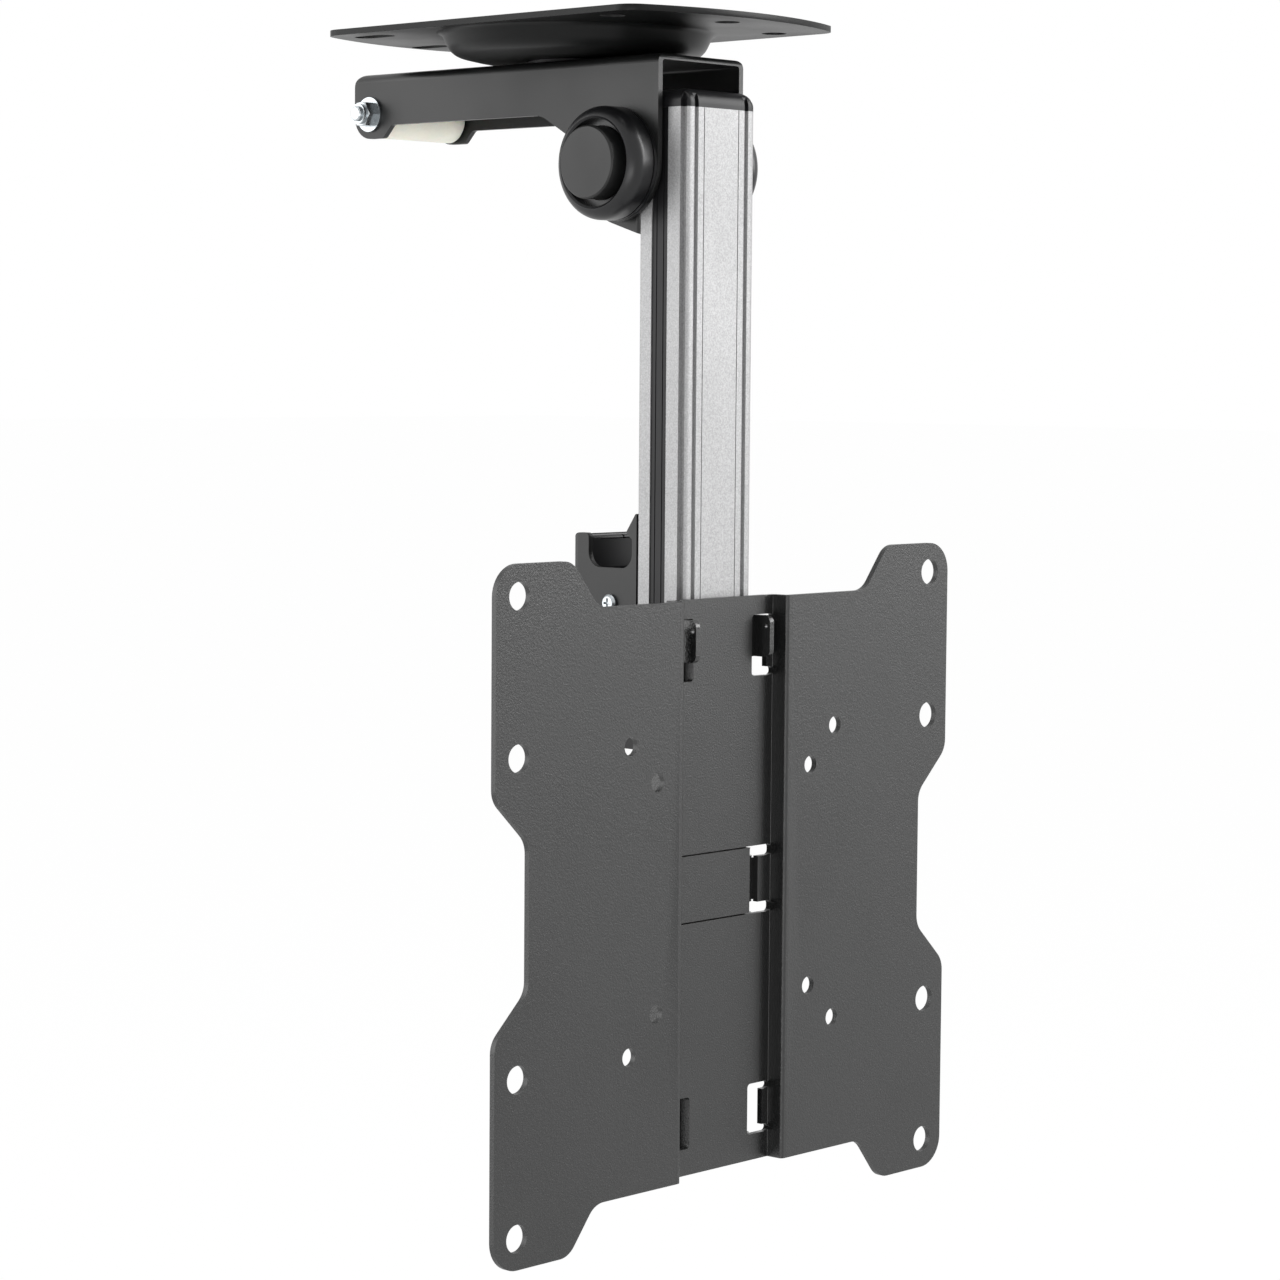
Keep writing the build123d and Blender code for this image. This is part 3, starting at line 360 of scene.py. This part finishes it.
def effect_group(name, inputs, outputs):
    """Empty shader node group; returns it, what comes in and what goes out."""
    group = bpy.data.node_groups.new(name, "ShaderNodeTree")
    for label, kind, default in inputs:
        socket = group.interface.new_socket(label, in_out="INPUT", socket_type=kind)
        socket.default_value = default
    for label, kind in outputs:
        group.interface.new_socket(label, in_out="OUTPUT", socket_type=kind)
    return group, group.nodes.new("NodeGroupInput").outputs, group.nodes.new("NodeGroupOutput").inputs


def build_grain():
    """Group: even speckle of a coat or a blasted skin, in colour, roughness and height."""
    group, given, result = effect_group(
        "surface_grain",
        (
            ("Colour", "NodeSocketColor", (0.5, 0.5, 0.5, 1.0)),
            ("Speckle", "NodeSocketFloat", 0.1),
            ("Scale", "NodeSocketFloat", 1000.0),
            ("Cloud", "NodeSocketFloat", 0.05),
            ("Roughness", "NodeSocketFloat", 0.5),
        ),
        (("Colour", "NodeSocketColor"), ("Roughness", "NodeSocketFloat"), ("Height", "NodeSocketFloat")),
    )
    place = object_place(group)
    fine = noise(group, place, given["Scale"], detail=3.0, roughness=0.6)
    wide = noise(group, place, CLOUD_SCALE, detail=3.0)
    spread = map_range(group, fine, 0.32, 0.68, -1.0, 1.0)
    drift = map_range(group, wide, 0.3, 0.7, -1.0, 1.0)
    speckle = maths(group, "MULTIPLY", spread, given["Speckle"])
    clouded = maths(group, "MULTIPLY_ADD", drift, given["Cloud"], speckle)
    gain = maths(group, "ADD", clouded, 1.0)
    rough = maths(group, "MULTIPLY_ADD", drift, CLOUD_ROUGHNESS, given["Roughness"])
    feed(group, result["Colour"], tinted(group, given["Colour"], gain))
    feed(group, result["Roughness"], rough)
    feed(group, result["Height"], fine)


def build_die_lines():
    """Group: faint lines along Z, as an extrusion's die leaves them."""
    group, given, result = effect_group(
        "die_lines",
        (
            ("Colour", "NodeSocketColor", (0.7, 0.7, 0.7, 1.0)),
            ("Depth", "NodeSocketFloat", 0.05),
            ("Scale", "NodeSocketFloat", 900.0),
        ),
        (("Colour", "NodeSocketColor"),),
    )
    stretch = (1.0, 1.0, DIE_LINE_STRETCH)
    drawn = node(group, "ShaderNodeMapping", Vector=object_place(group), Scale=stretch)
    lines = noise(group, drawn.outputs["Vector"], given["Scale"])
    spread = map_range(group, lines, 0.3, 0.7, -1.0, 1.0)
    gain = maths(group, "MULTIPLY_ADD", spread, given["Depth"], 1.0)
    feed(group, result["Colour"], tinted(group, given["Colour"], gain))


def build_step_flow():
    """Group: roughness of a coat that lies smoother on the step and on the floor beside it."""
    group, given, result = effect_group(
        "step_flow",
        (
            ("Coat", "NodeSocketFloat", 0.4),
            ("Smooth", "NodeSocketFloat", 0.12),
            ("Start", "NodeSocketFloat", 0.019),
            ("Full", "NodeSocketFloat", 0.022),
        ),
        (("Roughness", "NodeSocketFloat"),),
    )
    apart = node(group, "ShaderNodeSeparateXYZ", Vector=object_place(group)).outputs
    across = maths(group, "ABSOLUTE", apart["X"])
    near = map_range(group, across, given["Start"], given["Full"])
    wall = map_range(group, across, FLOW_WALL_X[0] * MM, FLOW_WALL_X[1] * MM, 1.0, 0.0)
    sunk = map_range(group, apart["Y"], (FRONT_Y + FLOW_DEPTH[0]) * MM, (FRONT_Y + FLOW_DEPTH[1]) * MM)
    sheltered = maths(group, "MULTIPLY", maths(group, "MULTIPLY", near, wall), sunk)
    feed(group, result["Roughness"], map_range(group, sheltered, 0.0, 1.0, given["Coat"], given["Smooth"]))


def placed(tree, group_name, **inputs):
    """Place a shared effect in a material with its own values."""
    made = tree.nodes.new("ShaderNodeGroup")
    made.node_tree = bpy.data.node_groups[group_name]
    for label, value in inputs.items():
        feed(tree, made.inputs[label], value)
    return made.outputs


def new_material(name):
    """Material with a Principled shader; returns it, its tree and the shader."""
    made = bpy.data.materials.new(name)
    made.use_nodes = True
    tree = made.node_tree
    return made, tree, tree.nodes["Principled BSDF"]


def grained_material(name, rgb, roughness, grain, metallic=0.0, shine=0.5, lines=None, flow=None):
    """Grained finish, with die lines or with the smooth coat beside the step where they are given."""
    made, tree, shader = new_material(name)
    base = (*rgb, 1.0)
    if lines:
        base = placed(tree, "die_lines", Colour=base, Depth=lines)["Colour"]
    if flow:
        start, full = (edge * MM for edge in flow)
        roughness = placed(
            tree, "step_flow", Coat=roughness, Smooth=FLOW_ROUGHNESS, Start=start, Full=full
        )["Roughness"]
    skin = placed(
        tree,
        "surface_grain",
        Colour=base,
        Speckle=grain.speckle,
        Scale=grain.scale,
        Cloud=grain.cloud,
        Roughness=roughness,
    )
    relief = node(
        tree, "ShaderNodeBump", Height=skin["Height"], Strength=grain.strength, Distance=grain.depth
    )
    feed(tree, shader.inputs["Base Color"], skin["Colour"])
    feed(tree, shader.inputs["Roughness"], skin["Roughness"])
    feed(tree, shader.inputs["Normal"], relief.outputs["Normal"])
    shader.inputs["Metallic"].default_value = metallic
    shader.inputs["Specular IOR Level"].default_value = shine
    return made


def frame_body(node_name):
    """Name of the body that a CAD node rides on."""
    return frame["nodes"][node_name]["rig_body"]


def dress(names, material):
    """Give CAD nodes a finish."""
    for name in names:
        for place in frame["nodes"][name].material_slots:
            place.material = material


# Modelling helpers


def add_edge_round(piece, width):
    """Round a piece's sharp edges with a live modifier, width in metres."""
    bevel = piece.modifiers.new("edge_round", "BEVEL")
    bevel.width = width
    bevel.segments = 2
    bevel.limit_method = "ANGLE"
    bevel.angle_limit = SHARP_ANGLE
    return bevel


def round_sheets(names, width):
    """Round the edges of CAD nodes, their meshes untouched."""
    for name in names:
        piece = frame["nodes"][name]
        weld = piece.modifiers.new("merge_seams", "WELD")
        weld.merge_threshold = MERGE_DISTANCE
        add_edge_round(piece, width)


def only(piece):
    """Make one object the selected and active one."""
    bpy.ops.object.select_all(action="DESELECT")
    piece.select_set(True)
    bpy.context.view_layer.objects.active = piece


def pick_edges(piece, wanted):
    """Select just the edges whose two ends pass a test, and go into edit mode."""
    only(piece)
    bpy.context.tool_settings.mesh_select_mode = (False, True, False)
    mesh = piece.data
    mesh.polygons.foreach_set("select", [False] * len(mesh.polygons))
    mesh.vertices.foreach_set("select", [False] * len(mesh.vertices))
    for edge in mesh.edges:
        edge.select = wanted(*(mesh.vertices[end].co for end in edge.vertices))
    bpy.ops.object.mode_set(mode="EDIT")


def bevel_picked(radius):
    """Round the picked edges by a radius in millimetres and leave edit mode."""
    bpy.ops.mesh.bevel(offset=radius * MM, segments=4, affect="EDGES")
    bpy.ops.object.mode_set(mode="OBJECT")


def merged_copy(node_name, piece_name):
    """Copy of a CAD node's mesh with its triangles joined, to be worked on; the node is left alone."""
    made = bpy.data.objects.new(piece_name, frame["nodes"][node_name].data.copy())
    bpy.context.collection.objects.link(made)
    only(made)
    bpy.ops.mesh.customdata_custom_splitnormals_clear()
    bpy.ops.object.mode_set(mode="EDIT")
    bpy.ops.mesh.select_all(action="SELECT")
    bpy.ops.mesh.mark_sharp(clear=True)
    bpy.ops.mesh.remove_doubles(threshold=MERGE_DISTANCE)
    bpy.ops.mesh.dissolve_limited(angle_limit=FLAT_ANGLE)
    bpy.ops.object.mode_set(mode="OBJECT")
    return made


def box(low, high, name="tool", axis=1, radius=0.0):
    """Box between two corners in millimetres, its edges along one axis rounded."""
    bpy.ops.object.select_all(action="DESELECT")
    centre = [(a + b) / 2 * MM for a, b in zip(low, high)]
    bpy.ops.mesh.primitive_cube_add(size=1.0, location=centre)
    made = bpy.context.object
    made.name = name
    made.scale = [(b - a) * MM for a, b in zip(low, high)]
    bpy.ops.object.transform_apply(location=True, rotation=True, scale=True)
    if radius:
        across = [other for other in range(3) if other != axis]
        pick_edges(made, lambda a, b: all(abs(a[other] - b[other]) < 1e-7 for other in across))
        bevel_picked(radius)
    return made


def carve(piece, tool, operation="DIFFERENCE"):
    """Cut a tool out of a piece, or join it on, and delete the tool."""
    only(piece)
    step = piece.modifiers.new("carve", "BOOLEAN")
    step.operation = operation
    step.solver = "EXACT"
    step.object = tool
    bpy.ops.object.modifier_apply(modifier=step.name)
    bpy.data.objects.remove(tool)


def break_edges(piece, width):
    """Break a modelled piece's sharp edges by a width in metres and shade it."""
    only(piece)
    bpy.ops.object.modifier_apply(modifier=add_edge_round(piece, width).name)
    bpy.ops.object.shade_smooth_by_angle(angle=SMOOTH_ANGLE)
    even = piece.modifiers.new("flat_faces", "WEIGHTED_NORMAL")
    even.keep_sharp = True
    even.weight = 100
    bpy.ops.object.modifier_apply(modifier=even.name)


def finish_piece(piece, material_name, slot, body, *nodes):
    """Dress a modelled piece, set it on its body and let it stand for CAD nodes."""
    piece.data.materials.clear()
    piece.data.materials.append(bpy.data.materials[material_name])
    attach(piece, body)
    if nodes:
        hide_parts(*nodes)


class MOUNT_OT_powder_coat(bpy.types.Operator):
    """Coat the ceiling plate, arm, brackets and screen plate"""

    bl_idname = "mount.powder_coat"
    bl_label = "Powder Coat"

    def execute(self, context):
        """Make the satin and the textured coats and put them on."""
        looks = context.scene.mount_finishes
        satin = (looks.arm_coat, looks.arm_coat_roughness, SATIN_GRAIN)
        textured = (looks.plate_coat, looks.plate_coat_roughness, TEXTURED_GRAIN)
        dress(POWDER_COATED_ARM, grained_material("satin_powder_coat", *satin, shine=0.36))
        dress(POWDER_COATED_CEILING, grained_material("ceiling_powder_coat", *satin, shine=0.16))
        for name, flow in (("textured_powder_coat", PLATE_FLOW), ("carrier_powder_coat", CARRIER_FLOW)):
            dress(POWDER_COATED_PLATE, grained_material(name, *textured, shine=0.6, flow=flow))
        round_sheets(POWDER_COATED_CEILING + POWDER_COATED_ARM, context.scene.mount_sizes.edge_round)
        return {"FINISHED"}


class MOUNT_OT_anodised_column(bpy.types.Operator):
    """Give the column its bead-blasted silver"""

    bl_idname = "mount.anodised_column"
    bl_label = "Anodised Column"

    def execute(self, context):
        """Make the blasted silver with faint die lines."""
        looks = context.scene.mount_finishes
        silver = (looks.anodised, looks.anodised_roughness, BLASTED_GRAIN)
        made = grained_material("blasted_silver", *silver, metallic=0.35, lines=DIE_LINE_DEPTH)
        dress(ANODISED, made)
        return {"FINISHED"}


class MOUNT_OT_black_mouldings(bpy.types.Operator):
    """Finish the caps, the column's core, the slider and the liner"""

    bl_idname = "mount.black_mouldings"
    bl_label = "Black Mouldings"

    def execute(self, context):
        """Make the moulded skin and put it on."""
        looks = context.scene.mount_finishes
        made = grained_material("moulded_black", looks.moulded_black, 0.38, MOULDED_GRAIN, shine=0.22)
        dress(MOULDED_BLACK, made)
        return {"FINISHED"}


class MOUNT_OT_pivot_rings(bpy.types.Operator):
    """Finish the glossy rings and the satin buttons of the pivot"""

    bl_idname = "mount.pivot_rings"
    bl_label = "Pivot Rings And Buttons"

    def execute(self, context):
        """Make the gloss and the satin plastic and put them on."""
        looks = context.scene.mount_finishes
        dress(GLOSS_RINGS, grained_material("ring_gloss", looks.ring_black, 0.33, RING_GRAIN, shine=0.42))
        dress(BUTTONS, grained_material("button_satin", looks.button_grey, 0.45, BUTTON_GRAIN, shine=0.42))
        return {"FINISHED"}


class MOUNT_OT_nylon_parts(bpy.types.Operator):
    """Finish the roller and the discs in cream nylon"""

    bl_idname = "mount.nylon_parts"
    bl_label = "Nylon Parts"

    def execute(self, context):
        """Make the waxy nylon and put it on."""
        made = grained_material("cream_nylon", context.scene.mount_finishes.nylon, 0.42, NYLON_GRAIN)
        shader = made.node_tree.nodes["Principled BSDF"]
        shader.inputs["Subsurface Weight"].default_value = 0.15
        shader.inputs["Subsurface Scale"].default_value = 0.003
        dress(NYLON, made)
        return {"FINISHED"}


class MOUNT_OT_zinc_hardware(bpy.types.Operator):
    """Plate the bolts, nuts, washers and springs"""

    bl_idname = "mount.zinc_hardware"
    bl_label = "Zinc Hardware"

    def execute(self, context):
        """Make the bright zinc and the spring steel and put them on."""
        zinc = context.scene.mount_finishes.zinc
        dress(ZINC, grained_material("bright_zinc", zinc, 0.28, ZINC_GRAIN, metallic=1.0))
        dress(SPRINGS, grained_material("spring_steel", SPRING_STEEL, 0.3, STEEL_GRAIN, metallic=1.0))
        return {"FINISHED"}


class MOUNT_OT_screen_plate(bpy.types.Operator):
    """Model the screen plate's sunk middle with its hooked slots"""

    bl_idname = "mount.screen_plate"
    bl_label = "Screen Plate"

    def execute(self, context):
        """Keep the plate's wings, fold a new middle between them and cut its slots."""
        plate = merged_copy("vesa_plate", "screen_plate")
        old_low = (-SEAM_X, FRONT_Y - NEAR_REACH, PLATE_LOW - NEAR_REACH)
        old_high = (SEAM_X, FLOOR_Y + MIDDLE_REACH, PLATE_HIGH + NEAR_REACH)
        carve(plate, box(old_low, old_high))
        carve(plate, self.middle(), "UNION")
        for side in (-1, 1):
            for low, high, leg in SLOTS:
                self.slot(plate, side, low, high, leg)
        self.window(plate)
        break_edges(plate, context.scene.mount_sizes.edge_round)
        finish_piece(plate, "textured_powder_coat", "powder_coat_plate", "column", "vesa_plate")
        return {"FINISHED"}

    def middle(self):
        """Strip with two steep steps, folded from one sheet."""
        bpy.ops.object.select_all(action="DESELECT")
        bpy.ops.mesh.primitive_plane_add(
            size=1.0, location=(0, FLOOR_Y * MM, PLATE_Z * MM), rotation=(math.pi / 2, 0, 0)
        )
        strip = bpy.context.object
        height = PLATE_HIGH - PLATE_LOW - 2 * WEB_MARGIN
        strip.scale = (2 * STEP_FOOT_X * MM, height * MM, 1.0)
        bpy.ops.object.transform_apply(location=True, rotation=True, scale=True)
        rise = (FRONT_Y - FLOOR_Y) * MM
        for side in (-1, 1):
            edge_x = side * STEP_FOOT_X * MM
            pick_edges(strip, lambda a, b: abs(a.x - edge_x) < 1e-6 and abs(b.x - edge_x) < 1e-6)
            step = (side * (STEP_TOP_X - STEP_FOOT_X) * MM, rise, 0)
            bpy.ops.mesh.extrude_region_move(TRANSFORM_OT_translate={"value": step})
            lip = (side * (SEAM_X + SEAM_LAP - STEP_TOP_X) * MM, 0, 0)
            bpy.ops.mesh.extrude_region_move(TRANSFORM_OT_translate={"value": lip})
            bpy.ops.object.mode_set(mode="OBJECT")
        for bend, radius in ((STEP_TOP_X * MM, TOP_BEND), (STEP_FOOT_X * MM, FOOT_BEND)):
            pick_edges(strip, lambda a, b: abs(abs(a.x) - bend) < 1e-6 and abs(abs(b.x) - bend) < 1e-6)
            bevel_picked(radius)
        wall = strip.modifiers.new("wall", "SOLIDIFY")
        wall.thickness = SHEET * MM
        wall.offset = -1.0
        wall.use_even_offset = True
        bpy.ops.object.modifier_apply(modifier=wall.name)
        return strip

    def cut(self, plate, near, far, bottom, top, radius=0.0):
        """Cut through the floor between two X and two Z, in millimetres from the plate's centre."""
        left, right = sorted((near, far))
        low = (left, FLOOR_Y - NEAR_REACH, PLATE_Z + bottom)
        high = (right, FLOOR_Y + FAR_REACH, PLATE_Z + top)
        carve(plate, box(low, high, radius=radius))

    def slot(self, plate, side, low, high, leg):
        """Slot with a tongue left in its outer side between two legs."""
        inner, tongue, outer = (side * x for x in (SLOT_INNER_X, TONGUE_X, SLOT_OUTER_X))
        self.cut(plate, inner, tongue, low, high, SLOT_ROUND)
        self.cut(plate, inner, outer, low, low + leg, SLOT_ROUND)
        self.cut(plate, inner, outer, high - leg, high, SLOT_ROUND)

    def window(self, plate):
        """Panel between two slits, and an opening with two legs at its right end."""
        half = WINDOW_HALF
        for low, high in ((-half, -half + WINDOW_SLIT), (half - WINDOW_SLIT, half)):
            self.cut(plate, -WINDOW_X, SLOT_INNER_X + WINDOW_LAP, low, high)
        self.cut(plate, SLOT_INNER_X, WINDOW_EAR_X, -half + WINDOW_LAP, half - WINDOW_LAP)
        for low, high in ((-half, -half + WINDOW_LEG), (half - WINDOW_LEG, half)):
            self.cut(plate, SLOT_INNER_X, SLOT_OUTER_X, low, high, SLOT_ROUND)


class MOUNT_OT_carrier(bpy.types.Operator):
    """Open the carrier behind the plate's slots"""

    bl_idname = "mount.carrier"
    bl_label = "Carrier"

    def execute(self, context):
        """Cut the reliefs and leave only the upper pair of hooks."""
        carrier = merged_copy("plate_carrier", "screen_carrier")
        rear_y = FLOOR_Y + SHEET
        (slot_low, slot_high, _), (upper_low, _, _) = SLOTS
        half = WINDOW_HALF
        for low, high in ((-half, half), (slot_low, slot_high)):
            hooks_low = (-HOOK_HALF_WIDTH, FRONT_Y - HOOK_REACH, PLATE_Z + low - HOOK_MARGIN)
            hooks_high = (HOOK_HALF_WIDTH, rear_y - HOOK_CLEARANCE, PLATE_Z + high + HOOK_MARGIN)
            carve(carrier, box(hooks_low, hooks_high))
        reliefs = (
            (slot_low, slot_high, (-1, 1)),
            (upper_low, HOOK_LOW, (-1, 1)),
            (-half, -half + WINDOW_LEG, (1,)),
            (half - WINDOW_LEG, half, (1,)),
        )
        for low, high, sides in reliefs:
            for side in sides:
                left, right = sorted((side * SLOT_INNER_X, side * TONGUE_X))
                relief_low = (left, rear_y - RELIEF_REACH, PLATE_Z + low)
                relief_high = (right, rear_y + RELIEF_DEPTH, PLATE_Z + high)
                carve(carrier, box(relief_low, relief_high))
        break_edges(carrier, context.scene.mount_sizes.edge_round)
        finish_piece(carrier, "carrier_powder_coat", "powder_coat_plate", "column", "plate_carrier")
        return {"FINISHED"}


class MOUNT_OT_latch_details(bpy.types.Operator):
    """Model the notch's black liner and the cross recesses of the latch screws"""

    bl_idname = "mount.latch_details"
    bl_label = "Latch Details"

    def execute(self, context):
        """Make the liner and cut the recesses."""
        self.liner()
        self.screws()
        return {"FINISHED"}

    def liner(self):
        """Moulded block behind the notch, with a parting groove across its top."""
        low, high = (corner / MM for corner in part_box("latch_bumper"))
        carriage_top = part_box("latch_carriage")[1].z / MM
        top = carriage_top - LINER_DROP
        block_low = (-LINER_HALF_WIDTH, low.y, low.z)
        block_high = (LINER_HALF_WIDTH, high.y - SHEET, top)
        block = box(block_low, block_high, "notch_liner", 0, LINER_ROUND)
        groove_low = (-GROOVE_HALF_WIDTH, low.y - TOOL_REACH, top - GROOVE_DEPTH)
        groove_high = (GROOVE_HALF_WIDTH, high.y + TOOL_REACH, carriage_top)
        carve(block, box(groove_low, groove_high))
        break_edges(block, LINER_EDGE * MM)
        finish_piece(block, "moulded_black", "black_plastic", frame_body("latch_bumper"), "latch_bumper")

    def screws(self):
        """Pan heads with a cross recess."""
        screws = merged_copy("latch_screws", "latch_pan_screws")
        low, high = (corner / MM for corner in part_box("latch_screws"))
        y, z = (low.y + high.y) / 2, (low.z + high.z) / 2
        for side, outer in ((-1, low.x), (1, high.x)):
            left, right = sorted((outer + side * TOOL_REACH, outer - side * CROSS_DEPTH))
            for half_y, half_z in ((CROSS_REACH, CROSS_ARM), (CROSS_ARM, CROSS_REACH)):
                carve(screws, box((left, y - half_y, z - half_z), (right, y + half_y, z + half_z)))
        break_edges(screws, SCREW_EDGE * MM)
        finish_piece(screws, "bright_zinc", "zinc", frame_body("latch_screws"), "latch_screws")


class MOUNT_OT_bolt_thread(bpy.types.Operator):
    """Turn the thread on the latch bolt's free end"""

    bl_idname = "mount.bolt_thread"
    bl_label = "Bolt Thread"

    def execute(self, context):
        """Add a turn of thread for each pitch of the end that stands out of the nut."""
        low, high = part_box("latch_bolt")
        free_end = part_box("latch_nut")[0].x - low.x
        turns = []
        for count in range(int(free_end / (THREAD_PITCH * MM))):
            bpy.ops.object.select_all(action="DESELECT")
            bpy.ops.mesh.primitive_torus_add(
                location=(
                    low.x + (THREAD_START + count * THREAD_PITCH) * MM,
                    (low.y + high.y) / 2,
                    (low.z + high.z) / 2,
                ),
                rotation=(0, math.pi / 2, 0),
                major_segments=28,
                minor_segments=6,
                major_radius=THREAD_RADIUS * MM,
                minor_radius=THREAD_HEIGHT * MM,
            )
            turns.append(bpy.context.object)
        for turn in turns:
            turn.select_set(True)
        if len(turns) > 1:
            bpy.ops.object.join()
        thread = bpy.context.object
        thread.name = "latch_bolt_thread"
        bpy.ops.object.transform_apply(location=True, rotation=True, scale=True)
        bpy.ops.object.shade_smooth()
        finish_piece(thread, "bright_zinc", "zinc", frame_body("latch_bolt"))
        return {"FINISHED"}


class MOUNT_OT_studio(bpy.types.Operator):
    """Set the floor, the lamps, the world and the camera"""

    bl_idname = "mount.studio"
    bl_label = "Studio"

    def execute(self, context):
        """Build the stage round the mount."""
        studio = context.scene.mount_studio
        self.floor(studio)
        self.lamps()
        self.world(context, studio)
        self.camera(context, studio)
        return {"FINISHED"}

    def mixed(self, tree, factor, first, second):
        """Output of a Mix Shader node."""
        made = node(tree, "ShaderNodeMixShader", Fac=factor)
        feed(tree, made.inputs[1], first)
        feed(tree, made.inputs[2], second)
        return made.outputs["Shader"]

    def seen_directly(self, tree):
        """1 for camera and glossy rays, else 0."""
        ray = tree.nodes.new("ShaderNodeLightPath").outputs
        return maths(tree, "MAXIMUM", ray["Is Camera Ray"], ray["Is Glossy Ray"])

    def floor(self, studio):
        """Pale floor well under the hanging mount."""
        bpy.ops.object.select_all(action="DESELECT")
        bpy.ops.mesh.primitive_plane_add(
            size=2 * studio.floor_half_size, location=(0, 0, cad_low.z - studio.floor_drop)
        )
        floor = bpy.context.object
        floor.name = "studio_floor"
        made, tree, shader = new_material("studio_floor")
        shader.inputs["Base Color"].default_value = FLOOR_GREY
        shader.inputs["Roughness"].default_value = 0.9
        glow = node(tree, "ShaderNodeEmission", Color=WHITE, Strength=FLOOR_GLOW).outputs["Emission"]
        factor = maths(tree, "MULTIPLY", self.seen_directly(tree), FLOOR_GLOW_SHARE)
        surface = tree.nodes["Material Output"].inputs["Surface"]
        feed(tree, surface, self.mixed(tree, factor, shader.outputs["BSDF"], glow))
        floor.data.materials.append(made)

    def lamps(self):
        """Soft boxes: each side of the mount reflects one to the camera, one is above and one is low."""
        for box_lamp in LAMPS:
            bpy.ops.object.light_add(type="AREA", location=box_lamp.place)
            lamp = bpy.context.object
            lamp.name = box_lamp.name
            lamp.data.shape = "RECTANGLE"
            lamp.data.size = box_lamp.width
            lamp.data.size_y = box_lamp.height
            lamp.data.energy = box_lamp.power
            lamp.visible_camera = False
            lamp.rotation_euler = (LIGHT_AIM - lamp.location).to_track_quat("-Z", "Y").to_euler()

    def world(self, context, studio):
        """White room: plain light on the object, pure white to the camera."""
        world = bpy.data.worlds.new("studio_world")
        context.scene.world = world
        world.use_nodes = True
        tree = world.node_tree
        tree.nodes.clear()
        lit = node(tree, "ShaderNodeBackground", Color=WHITE, Strength=studio.world_strength).outputs[0]
        seen = node(tree, "ShaderNodeBackground", Color=WHITE, Strength=1.0).outputs[0]
        surface = self.mixed(tree, self.seen_directly(tree), lit, seen)
        node(tree, "ShaderNodeOutputWorld", Surface=surface)

    def camera(self, context, studio):
        """Camera at the photograph's place and angle."""
        data = bpy.data.cameras.new("photo_camera")
        data.sensor_width = studio.sensor
        data.lens = studio.lens
        data.clip_start = 0.01
        data.clip_end = 100.0
        camera = bpy.data.objects.new("photo_camera", data)
        context.collection.objects.link(camera)
        turn = (
            Matrix.Rotation(-studio.camera_yaw, 4, "Z")
            @ Matrix.Rotation(math.pi / 2 + studio.camera_pitch, 4, "X")
            @ Matrix.Rotation(studio.camera_roll, 4, "Z")
        )
        camera.matrix_world = Matrix.Translation(studio.camera_place) @ turn
        context.scene.camera = camera
        context.scene.view_settings.view_transform = "Standard"


class MOUNT_PT_panel(bpy.types.Panel):
    """Panel that lists the steps in order"""

    bl_idname = "MOUNT_PT_panel"
    bl_label = "Ceiling Mount"
    bl_space_type = "VIEW_3D"
    bl_region_type = "UI"
    bl_category = "Mount"

    def draw(self, context):
        """One button for each step."""
        for step in STEPS:
            self.layout.operator(step.bl_idname)


GROUPS = (MountFinishes, MountSizes, MountStudio)
STEPS = (
    MOUNT_OT_powder_coat,
    MOUNT_OT_anodised_column,
    MOUNT_OT_black_mouldings,
    MOUNT_OT_pivot_rings,
    MOUNT_OT_nylon_parts,
    MOUNT_OT_zinc_hardware,
    MOUNT_OT_screen_plate,
    MOUNT_OT_carrier,
    MOUNT_OT_latch_details,
    MOUNT_OT_bolt_thread,
    MOUNT_OT_studio,
)


def register():
    """Register the classes and their settings."""
    for made in GROUPS + STEPS + (MOUNT_PT_panel,):
        bpy.utils.register_class(made)
    bpy.types.Scene.mount_finishes = PointerProperty(type=MountFinishes)
    bpy.types.Scene.mount_sizes = PointerProperty(type=MountSizes)
    bpy.types.Scene.mount_studio = PointerProperty(type=MountStudio)


def unregister():
    """Remove the settings and the classes."""
    del bpy.types.Scene.mount_studio
    del bpy.types.Scene.mount_sizes
    del bpy.types.Scene.mount_finishes
    for made in reversed(GROUPS + STEPS + (MOUNT_PT_panel,)):
        bpy.utils.unregister_class(made)


def main():
    """Build the dressed mount."""
    register()
    build_grain()
    build_die_lines()
    build_step_flow()
    for step in STEPS:
        group, name = step.bl_idname.split(".")
        getattr(getattr(bpy.ops, group), name)()


if __name__ == "__main__":
    main()
